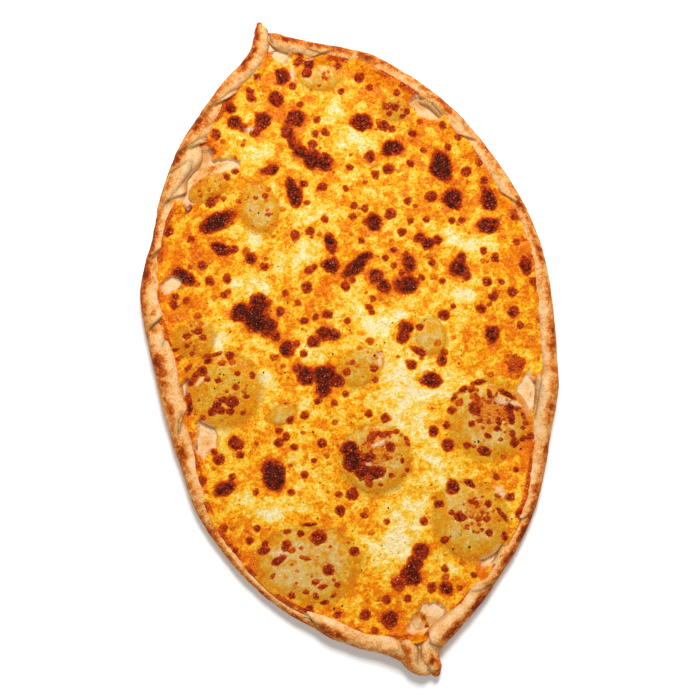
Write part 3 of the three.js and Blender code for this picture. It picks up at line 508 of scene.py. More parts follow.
def roll_line(roll):
    """Centre line of a roll from its upper end to its lower one: x = W (1 - (d / L)^n)^(1 / n) plus the
    bulges, where d is the distance above or below the widest point, between the pinched ends."""
    y = np.linspace(roll["between"][0], roll["between"][1], ARC_POINTS)
    above = y > roll["widest_at"]
    length = np.where(above, roll["upper"][0], roll["lower"][0])
    power = np.where(above, roll["upper"][1], roll["lower"][1])
    across = roll["half_width"] * (1 - (np.abs(y - roll["widest_at"]) / length) ** power) ** (1 / power)
    for middle, reach, push in roll["bulges"]:
        across = across + push * np.exp(-(((y - middle) / reach) ** 2))
    arc = list(zip(roll["side"] * across, y))
    return curve_through([*roll["pinched_start"], *arc, *roll["pinched_end"]], ROLL_STEPS)


LINES = {-1: roll_line(LEFT_ROLL), 1: roll_line(RIGHT_ROLL)}


def edge_at(roll, y):
    """For each y: the x of a roll's centre line, its half width there and the cosine of its slope."""
    line = LINES[roll["side"]][::-1]
    x = np.interp(y, line[:, 1], line[:, 0])
    slope = np.interp(y, line[:, 1], np.gradient(line[:, 0], line[:, 1]))
    return x, at_stations(roll["radii"], y), 1 / np.sqrt(1 + np.clip(slope, -3, 3) ** 2)


def inner_swell(roll, y):
    """How much wider a roll is on its inner side at each y: a sum of bells."""
    swell = 0 * y
    for middle, reach, width in roll["inner_swells"]:
        swell = swell + width * np.exp(-(((y - middle) / reach) ** 2))
    return swell


def gap_to_roll(roll, x, y):
    """Distance from each point to the inner side of a roll, negative inside the roll."""
    line_x, radius, cosine = edge_at(roll, y)
    return roll["side"] * (line_x - x) * cosine - radius - inner_swell(roll, y)


def distance_to_rolls(x, y):
    """Distance from each point to the inner side of the nearer roll, negative inside the roll."""
    return np.minimum(gap_to_roll(LEFT_ROLL, x, y), gap_to_roll(RIGHT_ROLL, x, y))


def make_piece(name, points, faces, material, nodes, fields=None):
    """Puts points (millimetres) and faces into a mesh object at the origin, with its fields as point
    attributes, parents it to the root body, gives it its material and hides the nodes that it stands for."""
    mesh = bpy.data.meshes.new(name)
    placed = (np.asarray(points, float) + TO_FRAME) * METRES
    mesh.from_pydata(placed.tolist(), [], faces)
    for field, values in (fields or {}).items():
        attribute = mesh.attributes.new(field, "FLOAT", "POINT")
        attribute.data.foreach_set("value", np.asarray(values, np.float32))
    mesh.polygons.foreach_set("use_smooth", np.ones(len(mesh.polygons), bool))
    mesh.materials.append(material)
    piece = bpy.data.objects.new(name, mesh)
    bpy.context.scene.collection.objects.link(piece)
    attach(piece, "root")
    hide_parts(*nodes)


def skin_faces(rings, sides, flip):
    """Faces of a skin: squares between each ring and the next, and fans to a point before the first ring
    and after the last one. Point 0 is the first pole and the last point is the last pole."""
    ring = np.arange(rings - 1)[:, None]
    side = np.arange(sides)[None, :]
    following = (side + 1) % sides
    corner = 1 + ring * sides
    squares = np.stack(
        [corner + side, corner + following, corner + sides + following, corner + sides + side], -1
    )
    around = np.arange(sides)
    onward = (around + 1) % sides
    last_ring = 1 + (rings - 1) * sides
    first = np.stack([np.zeros(sides, int), 1 + onward, 1 + around], -1)
    last = np.stack([np.full(sides, 1 + rings * sides), last_ring + around, last_ring + onward], -1)
    if flip:
        squares, first, last = squares[..., ::-1], first[:, ::-1], last[:, ::-1]
    return squares.reshape(-1, 4).tolist() + first.tolist() + last.tolist()


def skin_points(rings, first_pole, last_pole):
    """The points of a skin in the order that its faces use."""
    return np.vstack([[first_pole], rings.reshape(-1, 3), [last_pole]])


def make_skin(name, rings, poles, flip, material, nodes, fields):
    """Makes a closed piece from rings of points and a pole at each end. flip turns its faces round where
    the rings run the other way."""
    faces = skin_faces(rings.shape[0], rings.shape[1], flip)
    make_piece(name, skin_points(rings, *poles), faces, material, nodes, fields)


def with_poles(values, first, last):
    """A field on the rings, with its values at both poles added."""
    return np.concatenate([[first], np.asarray(values).ravel(), [last]])


def spots_over(x, y, spots, unevenness, profile):
    """The strongest value of all spots at each point. profile turns the oval distance, the mean half axis
    and the depth of a spot into a value. Only points near a spot are worked out."""
    value = np.zeros_like(x)
    for number, spot in enumerate(spots):
        size = (spot[2] + spot[3]) / 2
        reach = 1.3 * max(spot[2], spot[3]) + 3.5
        near = (np.abs(x - spot[0]) < reach) & (np.abs(y - spot[1]) < reach)
        distance = oval_distance(x[near], y[near], spot, unevenness, number)
        found = profile(distance, size, spot[5])
        old = value[near]
        value[near] = np.where(np.abs(found) > np.abs(old), found, old)
    return value


def line_distance(x, y, points):
    """Distance from each point to a line drawn through a few points."""
    nearest = np.full(np.shape(x), np.inf)
    for (start_x, start_y), (end_x, end_y) in zip(points, points[1:]):
        along_x, along_y = end_x - start_x, end_y - start_y
        share = ((x - start_x) * along_x + (y - start_y) * along_y) / (along_x**2 + along_y**2)
        share = np.clip(share, 0, 1)
        nearest = np.minimum(nearest, np.hypot(x - start_x - share * along_x, y - start_y - share * along_y))
    return nearest


# Rolled edges


def seam_relief(roll, travelled, angle, line):
    """The relief that the seams give to a roll. A seam is a line wound round the roll, where the dough
    steps down; the step fades away along the roll and is faint on the outer side."""
    outer_share = 0.5 + 0.5 * np.cos(angle)
    relief = 0
    for inner_y, outer_y, over in roll["seams"]:
        inner = np.interp(-inner_y, -line[:, 1], travelled[:, 0])
        outer = np.interp(-outer_y, -line[:, 1], travelled[:, 0])
        wander = 0.8 * noise(travelled, angle * 4, cell=5, seed=inner_y)
        past = travelled - (inner + (outer - inner) * outer_share) + wander
        step = np.tanh(past / SEAM_SHARPNESS) * np.exp(-np.abs(past) / SEAM_REACH)
        shown = 1 - SEAM_OUTER_FADE * ease(outer_share, 0.45, 0.9)
        relief = relief - over * SEAM_STEP / 2 * step * shown
    return relief


def crease_share(x, y):
    """1 in the bottom of a crease, falling off steeply on both sides of it into a wide shallow valley."""
    share = np.zeros_like(x)
    for points in CREASES:
        distance = line_distance(x, y, points)
        crease = np.exp(-((distance / CREASE_WIDTH) ** 2))
        valley = VALLEY_SHARE * np.exp(-((distance / VALLEY_WIDTH) ** 2))
        share = np.maximum(share, np.maximum(crease, valley))
    return share


def crust_profile(distance, size, depth):
    """Browning of a spot on the crust: full in its middle and soft at its edge."""
    return depth * (1 - ease(distance, 0.15, 1.55))


def cap_rings(ring, centre, pole):
    """Rings between a roll's last section and its pole: the section shrinks by sqrt(1 - s^2) while it moves
    the share s of the way to the pole."""
    centre, pole = np.array(centre), np.array(pole)
    share = np.array(CAP_SHARES)[:, None, None]
    return centre + (ring - centre) * np.sqrt(1 - share**2) + (pole - centre) * share


def around_roll(angle):
    """Millimetres round a roll from its inner line, alike upwards and downwards, so noise has no seam."""
    return np.abs(angle - math.pi) * MEAN_ROLL_RADIUS


def roll_relief(roll, line, travelled, angle):
    """How far a roll's skin lies outside its plain section: seams, uneven dough and fine wrinkles."""
    around = around_roll(angle)
    seed = ROLL_SEED + roll["side"]
    relief = seam_relief(roll, travelled, angle, line)
    relief = relief + 0.4 * layered_noise(travelled, around, cell=13, seed=seed)
    return relief + 0.18 * layered_noise(travelled, around * 1.6, cell=3.2, seed=seed + 3, layers=2)


def capped_roll(line, along, sections):
    """A roll's sections with the rings that round off both of its ends, and its two poles."""
    middle_height = 0.5 * ROLL_BASE_HEIGHT + 1
    first = (*(line[0] - along[0] * TIP_REACH), middle_height)
    last = (*(line[-1] + along[-1] * TIP_REACH), middle_height)
    first_cap = cap_rings(sections[0], (*line[0], middle_height), first)[::-1]
    last_cap = cap_rings(sections[-1], (*line[-1], middle_height), last)
    return np.concatenate([first_cap, sections, last_cap]), (first, last)


def roll_fields(roll, travelled, angle, sections, crease):
    """What a roll's finish needs at each point: how toasted it is, most on its outer side and in browned
    spots, where its creases lie, which the finish darkens as painted shade, and where oil soaked into its
    inner side, whose darker colour also paints the shade beside the filling."""
    x, y, z = sections[..., 0], sections[..., 1], sections[..., 2]
    outer, upper = np.cos(angle), np.sin(angle)
    seed = ROLL_SEED + roll["side"]
    streaks = layered_noise(travelled, around_roll(angle) * 2.2, cell=17, seed=seed + 9)
    toast = 0.27 + 0.17 * layered_noise(x, y, cell=7, seed=seed + 5) + 0.1 * ease(outer, -0.6, 0.3)
    toast = toast + (0.22 + 0.3 * streaks) * ease(outer, -0.1, 0.6) * ease(upper, -0.5, 0.3)
    toast = toast + spots_over(x, y, CRUST_SPOTS, 0.45, crust_profile) * (0.26 + 0.44 * ease(z, 2, 7))
    # oil on the inner side facing the filling; its colour is darkened there to paint shade
    oil = ease(-outer, 0.6, 0.95) * ease(upper, 0.0, 0.25) * (0.5 + 0.5 * noise(x, y, cell=5, seed=seed))
    caps = len(CAP_SHARES)
    fields = {}
    for field, values in {"toast": toast, "crease": crease, "oil": oil}.items():
        capped = np.pad(values, ((caps, caps), (0, 0)), mode="edge")
        fields[field] = with_poles(capped, capped[0].mean(), capped[-1].mean())
    return fields


def rolled_edge(roll, name, material):
    """One rolled edge: oval sections along the centre line, rounded off at both ends and flat underneath
    where they rest. Section point = centre + outwards r cos a + up (c + h sin a), where seams, wrinkles
    and creases change r and h, and swells widen the inner half."""
    line = LINES[roll["side"]]
    along = np.gradient(line, axis=0)
    along /= np.linalg.norm(along, axis=1)[:, None]
    outward = roll["side"] * np.column_stack([-along[:, 1], along[:, 0]])
    travelled = (np.arange(len(line)) * np.linalg.norm(line[1] - line[0]))[:, None]
    from_end = np.minimum(travelled, travelled[-1] - travelled)
    narrowed = 1 - np.sqrt(1 - (1 - np.clip(from_end / END_LENGTH, 0, 1)) ** 2)
    round_off = 1 - END_NARROWING * narrowed
    radius = at_stations(roll["radii"], line[:, 1])[:, None]
    half_height = (ROLL_BASE_HEIGHT + ROLL_FOOT + ROLL_HEIGHT_PER_RADIUS * radius) / 2
    angle = ((np.arange(ROLL_SIDES) + 0.5) / ROLL_SIDES * FULL_TURN)[None, :]
    outer, upper = np.cos(angle), np.sin(angle)
    relief = roll_relief(roll, line, travelled, angle)
    swell = inner_swell(roll, line[:, 1])[:, None]
    reach = (radius * round_off + relief) * outer - swell * np.clip(-outer, 0, 1) ** 0.8
    x = line[:, 0:1] + outward[:, 0:1] * reach
    y = line[:, 1:2] + outward[:, 1:2] * reach
    crease = crease_share(x, y) * ease(upper, -0.05, 0.25)
    height = half_height - ROLL_FOOT + (half_height * round_off + relief) * upper - CREASE_DEPTH * crease
    sections = np.stack([x, y, np.maximum(height, 0.0)], -1)
    rings, poles = capped_roll(line, along, sections)
    fields = roll_fields(roll, travelled, angle, sections, crease)
    make_skin(name, rings, poles, roll["side"] < 0, material, ["crust"], fields)


# Filling


def sheet_level(x, y):
    """Top of the flat dough, raised and lowered by soft bubbles."""
    bubbled = SHEET_HEIGHT + 0.35 * layered_noise(x, y, cell=9, seed=41)
    return bubbled + 0.1 * layered_noise(x, y, cell=2.5, seed=42, layers=2)


def cheese_level(x, y):
    """Mean surface of the cheese: three long waves of different lengths and directions."""
    long_wave = 0.35 * np.sin(x / 17 + y / 43 + 0.6)
    cross_wave = 0.3 * np.sin(y / 19 - x / 61 + 1.9)
    short_wave = 0.2 * np.sin(x / 9.5 - y / 12.5)
    return CHEESE_HEIGHT + long_wave + cross_wave + short_wave


def blister_profile(distance, size, depth):
    """Browning of a blister: its depth in the middle, less in a small one, red-brown at its edge, then an
    orange halo that is wider around a larger one."""
    margin = (distance - 1) * size - 0.1
    depth = min(depth, 0.8 + 0.027 * size)
    edge = min(depth, BLISTER_EDGE)
    core = depth - (depth - edge) * ease(margin, -0.3 - 0.36 * size, 0.1)
    ring = core - 0.21 * ease(margin, -0.1, 0.4)
    return ring * (1 - ease(margin, 0.3 + 0.06 * size, 0.75 + 0.2 * size))


def blister_rise(distance, size, depth):
    """Height of a blister in millimetres: a low dome, higher for a larger one, in a shallow ditch."""
    rise = (0.1 + 0.17 * min(size, 5.5)) * (0.4 + 0.6 * depth) * (1 if depth > 0.67 else 0.5)
    dome = rise * np.clip(1 - distance**2, 0, 1) ** 0.6
    ditch = min(0.22, 0.1 * size) * np.exp(-((((distance - 1) * size - 0.6) / 0.6) ** 2))
    return dome - ditch


def glow_profile(distance, size, depth):
    """Warm glow around a large blister, fading over three millimetres."""
    return depth * (1 - ease((distance - 1) * size, 0, 3.4))


def freckles():
    """Small browned dots: clusters on the slices and loose ones all over, from one seed."""
    random = np.random.default_rng(LOOSE_FRECKLES["seed"])
    made = []
    for middle_x, middle_y, reach, count, depth in FRECKLES:
        away = reach * np.sqrt(random.uniform(0, 1, count))
        angle = random.uniform(0, FULL_TURN, count)
        size = random.uniform(0.4, 1.0, count)
        deep = depth - 0.06 + random.uniform(-0.08, 0.08, count)
        x = middle_x + away * np.cos(angle)
        y = middle_y + away * np.sin(angle)
        made += zip(x, y, size, 0.9 * size, 0 * size, deep)
    count = LOOSE_FRECKLES["count"]
    span = LOOSE_FRECKLES["largest"] - LOOSE_FRECKLES["smallest"]
    size = LOOSE_FRECKLES["smallest"] + span * random.uniform(0, 1, count) ** 2
    deep = random.uniform(LOOSE_FRECKLES["shallow"], LOOSE_FRECKLES["deep"], count)
    x = random.uniform(FIELD_LOW[0], FIELD_HIGH[0], count)
    y = random.uniform(FIELD_LOW[1], FIELD_HIGH[1], count)
    pale = pale_share(x, y) > 0.55
    made += zip(x, y, size, 0.85 * size, 0 * size, np.where(pale, 0.3, deep))
    return [tuple(float(value) for value in spot) for spot in made]


def all_blisters():
    """Large blisters, dots, slice spots and freckles in one list of x, y, half axes, turn and depth."""
    dots = [(x, y, r, 0.92 * r, 40 * x, 0.72 + 0.045 * min(r, 3)) for x, y, r in DOTS]
    return BLISTERS + dots + SLICE_SPOTS + freckles()


def slice_distance(x, y, spot):
    """Distance from a slice's middle in shares of its half axes, with a slightly uneven rim."""
    return oval_distance(x, y, spot, 0.05, 3)


def potato_cover(x, y):
    """How much potato shows at each point, from 0 to 1, and the tone of that potato, with a golden rim that
    is stronger on the lower side of each slice as painted shade.
    """
    cover, tone = np.zeros_like(x), np.zeros_like(x)
    for spot in SLICES:
        distance = slice_distance(x, y, spot) + 0.1 * layered_noise(x, y, cell=5, seed=17)
        shown = 1 - ease(distance, 0.84, 1.16)
        nearer = shown > cover
        # the golden rim is the slice's own colour; its extra strength on the lower side is painted shade
        downwards = (spot[1] - y) / np.hypot(x - spot[0], y - spot[1] + 0.01)
        gold_rim_and_shade = 0.8 * ease(distance, 0.55, 0.95) * (0.75 + 0.25 * downwards)
        tone = np.where(nearer, spot[6] + gold_rim_and_shade, tone)
        cover = np.maximum(cover, shown)
    return cover, tone


def bare_share(x, y):
    """1 where the dough is bare, 0 under cheese, with an uneven soft border."""
    share = np.zeros_like(x)
    for number, spot in enumerate(BARE_PATCHES):
        distance = oval_distance(x, y, spot, 0.3, number)
        distance = distance + 0.2 * layered_noise(x, y, cell=4.5, seed=91)
        distance = distance + 0.14 * layered_noise(x, y, cell=2, seed=93, layers=2)
        share = np.maximum(share, 1 - ease(distance, 0.8, 1.12))
    return share


def pale_share(x, y):
    """Sum of soft pale zones, each a bell of its own reach."""
    share = np.zeros_like(x)
    for middle_x, middle_y, reach_x, reach_y in PALE_ZONES:
        distance = np.hypot((x - middle_x) / reach_x, (y - middle_y) / reach_y)
        share = share + np.exp(-(distance**2))
    return np.clip(share, 0, 1)


def streak_share(x, y):
    """1 on the pale streaks of dry cheese, fading at their uneven edges."""
    share = np.zeros_like(x)
    for number, spot in enumerate(PALE_STREAKS):
        distance = oval_distance(x, y, spot, 0.3, number + 50)
        share = np.maximum(share, 0.85 * (1 - ease(distance, 0.45, 1.1)))
    return share


def film_share(x, y):
    """How much orange film of browned cheese hides the potato: most in the middle of each deeply browned
    cluster of dots."""
    share = np.zeros_like(x)
    for middle_x, middle_y, reach, _, depth in FRECKLES:
        distance = np.hypot(x - middle_x, y - middle_y) / reach
        share = np.maximum(share, ease(depth, 0.6, 0.75) * np.exp(-(distance**2)))
    return share


def filling_fields(x, y):
    """What the filling's finishes need at each point: how warm the cheese is, how browned a spot is, how
    much potato shows and its tone, and where dry pale cheese lies."""
    spots = spots_over(x, y, SPOTS, 0.3, blister_profile)
    glow = spots_over(x, y, BLISTERS, 0.2, glow_profile)
    gap = distance_to_rolls(x, y)
    uneven = ease(layered_noise(x, y, cell=6, seed=19, layers=2), -0.35, 0.2)
    margin = 0.68 * uneven * np.exp(-np.clip(gap, 0, None) / 2)
    cover, tone = potato_cover(x, y)
    film = film_share(x, y)
    bare = bare_share(x, y)
    warmth = MEAN_WARMTH + 0.16 * layered_noise(x, y, cell=24, seed=5)
    warmth = warmth + 0.12 * layered_noise(x, y, cell=7, seed=8, layers=2)
    warmth = warmth + 0.10 * np.exp(-np.clip(gap, 0, None) / 8) + 0.16 * glow
    warmth = warmth + 0.1 * film - 0.34 * pale_share(x, y)
    return {
        "warmth": np.clip(warmth, 0.02, 0.62),
        "browned": np.maximum(spots, margin),
        "potato": cover * (1 - 0.85 * film),
        "tone": np.clip(tone, 0, 1.4),
        "streak": np.maximum(streak_share(x, y), 0.75 * ease(bare, 0.02, 0.6) * (1 - cover)),
    }


def fine_relief(x, y):
    """Lumps of 10 mm and of 4 mm, each with one finer layer, that the grid can carry."""
    lumps = 0.4 * layered_noise(x, y, cell=10, seed=63, layers=2)
    return lumps + 0.3 * layered_noise(x, y, cell=4.2, seed=61, layers=2)


def row_loops(ends, rows, columns, tuck, top_of, underside):
    """Level rows from one tip to the other. Each row runs across the top from the left roll to the right
    one, tuck of a half width inside their centre lines, and back underneath."""
    y = (ends[0] + (ends[1] - ends[0]) * np.linspace(0, 1, rows))[:, None]
    left_x, left_radius, left_cosine = edge_at(LEFT_ROLL, y)
    right_x, right_radius, right_cosine = edge_at(RIGHT_ROLL, y)
    left = left_x + tuck * left_radius / left_cosine
    right = right_x - tuck * right_radius / right_cosine
    middle = (left + right) / 2
    left, right = np.minimum(left, middle - 0.5), np.maximum(right, middle + 0.5)
    forth = np.linspace(0, 1, columns)[None, :]
    back = np.linspace(1, 0, UNDERSIDE_COLUMNS + 2)[None, :]
    top_x = left + (right - left) * forth
    top = np.stack([top_x, y + 0 * top_x, top_of(top_x, y + 0 * top_x)], -1)
    bottom_x = left + (right - left) * back
    bottom = np.stack([bottom_x, y + 0 * bottom_x, underside + 0 * bottom_x], -1)
    return np.concatenate([top, bottom], 1)


def dough_sheet(material):
    """The flat sheet of dough under the filling, closed by its flat baked underside."""
    rings = row_loops(SHEET_ENDS, SHEET_ROWS, SHEET_COLUMNS, 0.0, sheet_level, 0.0)
    x, y, z = rings[..., 0], rings[..., 1], rings[..., 2]
    oily = 0.7 * ease(layered_noise(x, y, cell=5, seed=71), 0.0, 0.5)
    toast = 0.16 + 0.14 * layered_noise(x, y, cell=6, seed=77) + 0.3 * (z < 1)
    toast = toast + spots_over(x, y, DOUGH_SPOTS, 0.3, crust_profile)
    fields = {
        "toast": with_poles(toast, 0.2, 0.2),
        "crease": with_poles(0 * x, 0, 0),
        "oil": with_poles(oily * (z > 1), 0, 0),
    }
    poles = rings[0].mean(0), rings[-1].mean(0)
    make_skin("dough_sheet", rings, poles, False, material, ["crust"], fields)


def cheese_top(x, y):
    """Top of the cheese: its level, relief and blisters, a little higher where it clings to the rolls, cut
    down to the dough at bare patches and dipping under the potato slices."""
    gap = distance_to_rolls(x, y)
    top = cheese_level(x, y) + fine_relief(x, y) + spots_over(x, y, SPOTS, 0.3, blister_rise)
    top = top + 0.7 * np.exp(-((np.clip(gap, 0, None) / 2.2) ** 2))
    bare = bare_share(x, y)
    ground = SHEET_HEIGHT - 0.7
    top = ground + (top - ground) * np.sqrt(np.clip(1 - bare, 0, 1))
    for spot in SLICES:
        under = 1 - ease(slice_distance(x, y, spot), SLICE_SHORE - 0.28, SLICE_SHORE)
        top = top - 1.6 * under
    return top


def melted_cheese(material):
    """The sheet of cheese between the rolls, from the dough up to its blistered top."""
    rings = row_loops(CHEESE_ENDS, CHEESE_ROWS, CHEESE_COLUMNS, 0.35, cheese_top, CHEESE_UNDERSIDE)
    fields = filling_fields(rings[..., 0], rings[..., 1])
    fields = {name: with_poles(values, 0.4, 0.4) for name, values in fields.items()}
    for name in ("browned", "potato", "streak"):
        fields[name][[0, -1]] = 0
    poles = rings[0].mean(0), rings[-1].mean(0)
    make_skin("melted_cheese", rings, poles, False, material, ["cheese"], fields)


def slice_level(x, y, spot, share):
    """Top of a slice: cheese level + rise (0.5 (1 - q^2) + 0.5 (1 - q^5)), where q is the distance in shares
    of the shore, with the same blisters as the cheese around it."""
    inwards = share / SLICE_SHORE
    dome = SLICE_RISE * spot[5] * (0.5 * (1 - inwards**2) + 0.5 * (1 - inwards**5))
    return cheese_level(x, y) + dome + 0.6 * fine_relief(x, y) + spots_over(x, y, SPOTS, 0.3, blister_rise)


def slice_oval(spot, share, angle):
    """Points of a slice's oval at shares of its half axes and angles round it, turned and in their place."""
    middle_x, middle_y, half_along, half_across = spot[:4]
    turn = math.radians(spot[4])
    along, across = half_along * share * np.cos(angle), half_across * share * np.sin(angle)
    x = middle_x + along * math.cos(turn) - across * math.sin(turn)
    y = middle_y + along * math.sin(turn) + across * math.cos(turn)
    return x, y


def potato_slice(number, spot, material):
    """One potato slice: a disc in rings from its middle outwards, then down its side to its underside. It
    stays under the dough where it reaches a roll."""
    share = np.concatenate([np.linspace(0.02, 1.0, SLICE_RINGS), SLICE_FOOT_SHARES])[:, None]
    angle = (np.arange(SLICE_SIDES) / SLICE_SIDES * FULL_TURN)[None, :]
    x, y = slice_oval(spot, share, angle)
    z = slice_level(x, y, spot, share)
    z[-3] = (z[-4] + SLICE_BOTTOM) / 2
    z[-2:] = SLICE_BOTTOM
    z = np.where(distance_to_rolls(x, y) < 0.2, np.minimum(z, CHEESE_HEIGHT - 1), z)
    rings = np.stack([x, y, z], -1)
    fields = filling_fields(x, y)
    fields = {name: with_poles(values, values[0, 0], values[-1, 0]) for name, values in fields.items()}
    poles = (spot[0], spot[1], z[0].mean()), (spot[0], spot[1], SLICE_BOTTOM)
    node = f"potato_slice_{number:02d}"
    make_skin(f"baked_{node}", rings, poles, True, material, [node], fields)


def surface_height(x, y):
    """Height of the filling at points: the higher of the cheese and of any slice there."""
    height = cheese_top(x, y)
    for spot in SLICES:
        distance = slice_distance(x, y, spot)
        height = np.where(distance < 1, np.maximum(height, slice_level(x, y, spot, distance)), height)
    return height


def grain_places(random):
    """Places and radii of the grains: the large ones listed, and fine ones at random that are clear of
    the rolls and of bare dough."""
    tries = random.uniform(FIELD_LOW, FIELD_HIGH, (FINE_GRAINS["count"] * 4, 2))
    x, y = tries[:, 0], tries[:, 1]
    clear = (distance_to_rolls(x, y) > 2) & (bare_share(x, y) < 0.1)
    fine = tries[clear][: FINE_GRAINS["count"]]
    fine_radius = random.uniform(FINE_GRAINS["smallest"], FINE_GRAINS["largest"], len(fine))
    large = np.array(LARGE_GRAINS, float)
    return np.vstack([large[:, :2], fine]), np.concatenate([large[:, 2], fine_radius])[:, None]


def small_ball():
    """The points of a ball of a few rings between two poles, with a radius of 1."""
    lift = np.cos(np.linspace(0, math.pi, GRAIN_RINGS + 2))[1:-1]
    angle = np.arange(GRAIN_SIDES) / GRAIN_SIDES * FULL_TURN
    width = np.sqrt(1 - lift**2)[:, None]
    rings = np.stack([width * np.cos(angle), width * np.sin(angle), lift[:, None] + 0 * angle], -1)
    return skin_points(rings, (0, 0, 1), (0, 0, -1))


def cracked_pepper(material):
    """Grains of pepper: small uneven pebbles, each a ball of a few rings pushed in and out at random,
    stretched, turned and half sunk in what it lies on."""
    random = np.random.default_rng(FINE_GRAINS["seed"])
    place, radius = grain_places(random)
    ball = small_ball()
    count = len(place)
    uneven = random.uniform(0.75, 1.2, (count, len(ball), 1))
    stretch = random.uniform(0.7, 1.25, (count, 1, 3)) * (1, 0.85, 0.75)
    turn = random.uniform(0, FULL_TURN, (count, 1))
    grain = ball[None] * uneven * stretch * radius[:, :, None]
    x = place[:, 0:1] + grain[..., 0] * np.cos(turn) - grain[..., 1] * np.sin(turn)
    y = place[:, 1:2] + grain[..., 0] * np.sin(turn) + grain[..., 1] * np.cos(turn)
    z = surface_height(place[:, 0:1], place[:, 1:2]) + 0.25 * radius + grain[..., 2]
    one = skin_faces(GRAIN_RINGS, GRAIN_SIDES, True)
    faces = [[corner + number * len(ball) for corner in face] for number in range(count) for face in one]
    points = np.stack([x, y, z], -1).reshape(-1, 3)
    make_piece("cracked_pepper", points, faces, material, ["cheese"])


# Finishes

ATTRIBUTE = "ShaderNodeAttribute"
BUMP = "ShaderNodeBump"
CELLS = "ShaderNodeTexVoronoi"
COLOUR_RAMP = "ShaderNodeValToRGB"
COORDINATES = "ShaderNodeTexCoord"
MATH = "ShaderNodeMath"
MIX = "ShaderNodeMix"
NOISE = "ShaderNodeTexNoise"
RANGE = "ShaderNodeMapRange"
VECTOR_MATH = "ShaderNodeVectorMath"
SOFT = {"interpolation_type": "SMOOTHSTEP"}

# Repeats of each pattern in a metre, from the size of one in millimetres
CRUST_MOTTLES = 330  # 3 mm
CRUST_GRAIN = 1300  # 0.8 mm
CHEESE_PATCHES = 165  # 6 mm
CHEESE_CURDS = 400  # 2.5 mm
MILK_GRAINS = 1000  # 1 mm
BLISTER_BUBBLES = 720  # 1.4 mm
BUBBLE_SWIRLS = 600  # 1.7 mm
PEPPER_HUSK = 900  # 1.1 mm

# How deep each pattern is, and how far noise bends the bubbles of the blisters
CRUST_GRAIN_DEPTH = 0.5 * METRES
CRUST_MOTTLE_DEPTH = 1.1 * METRES
BUBBLE_DEPTH = 1.0 * METRES
CURD_DEPTH = 1.0 * METRES
BUBBLE_BEND = (1.6 * METRES, 1.6 * METRES, 1.6 * METRES)

# How strongly each pattern warms or cools the colour of the cheese
MOTTLING = {"patches": 0.21, "clots": 0.15, "flecks": 0.09}

CRUST_STOPS = [
    (0.0, "EBD0A8"), (0.2, "E9BF88"), (0.36, "E2A662"), (0.5, "D68738"), (0.64, "C3651E"),
    (0.8, "A84610"), (1.0, "7C2C06"),
]
# orange of soaked-in oil, darkened to paint the shade on the rolls' inner side beside the filling
OIL_AND_SHADE_CRUST = "C47A1C"
# painted shade in the creases of the rolls
PAINTED_CREASE_SHADE = "6E4A22"
CHEESE_STOPS = [
    (0.0, "EDD9A4"), (0.12, "EECE78"), (0.24, "EEBF40"), (0.35, "EEAD1C"), (0.45, "EA9208"),
    (0.54, "E07604"), (0.62, "D25C05"), (0.7, "C04506"), (0.78, "AA3106"), (0.86, "952405"),
    (0.93, "741705"), (1.0, "400D06"),
]
POTATO_STOPS = [(0.0, "D2B47C"), (0.25, "CEAB62"), (0.5, "CE9E3C"), (0.75, "CE921E"), (1.0, "D08410")]
DRY_CHEESE = "EBC396"
# pale colour of the painted glints on the cheese and blisters
PAINTED_GLINT = "FCE4B6"
OIL_TINT = "FFB870"
PEPPER_STOPS = [(0.35, "17110A"), (0.6, "2A1F10"), (0.8, "46351A")]
FLOOR_WHITE = "FDFDFC"


def new_material(name):
    """A new material, its node tree and its Principled shader."""
    material = bpy.data.materials.new(name)
    material.use_nodes = True
    tree = material.node_tree
    shader = next(node for node in tree.nodes if node.type == "BSDF_PRINCIPLED")
    return material, tree, shader


def baked_crust():
    """Wheat dough baked on stone: matt and floury, pale cream where it stayed soft, gold to dark brown
    where it stood up into the heat, orange where the oil of the cheese soaked in, darkened there with
    painted shade beside the filling, and painted shade in its creases. Grain of 0.8 mm, and mottles of 3 mm
    that are stronger where it is browned."""
    material, tree, shader = new_material("baked crust")
    place = add_node(tree, COORDINATES, {}, "Object")
    toast, oil, crease = (
        add_node(tree, ATTRIBUTE, {}, "Fac", attribute_name=field) for field in ("toast", "oil", "crease")
    )
    blotches = add_node(
        tree, NOISE, {"Vector": place, "Scale": CRUST_MOTTLES, "Detail": 4, "Roughness": 0.6}
    )
    grain = add_node(tree, NOISE, {"Vector": place, "Scale": CRUST_GRAIN, "Detail": 3, "Roughness": 0.7})
    mottles = add_node(
        tree, RANGE, {"Value": blotches, "From Min": 0.38, "From Max": 0.62, "To Min": 0.77, "To Max": 1.21},
        **SOFT,
    )
    mottled = add_node(tree, MATH, {0: mottles, 1: toast, 2: grain}, operation="MULTIPLY_ADD")
    level = add_node(tree, MATH, {0: mottled, 1: 0.5}, operation="SUBTRACT")
    colour = add_node(tree, COLOUR_RAMP, {"Fac": level}, stops=CRUST_STOPS)
    # the creases and their shallow valleys are darkened with painted shade
    crease_shade_share = add_node(tree, MATH, {0: crease, 1: 0.75}, operation="MULTIPLY")
    for share, layer in ((oil, OIL_AND_SHADE_CRUST), (crease_shade_share, PAINTED_CREASE_SHADE)):
        inputs = {"Factor": share, "A": colour, "B": linear(layer)}
        colour = add_node(tree, MIX, inputs, "Result", data_type="RGBA")
    fine = add_node(tree, BUMP, {"Height": grain, "Distance": CRUST_GRAIN_DEPTH, "Strength": 0.8})
    relief = add_node(
        tree, BUMP, {"Height": blotches, "Distance": CRUST_MOTTLE_DEPTH, "Strength": 0.8, "Normal": fine}
    )
    set_inputs(
        tree, shader, {"Base Color": colour, "Normal": relief, "Roughness": 0.75, "Specular IOR Level": 0.08}
    )
    return material


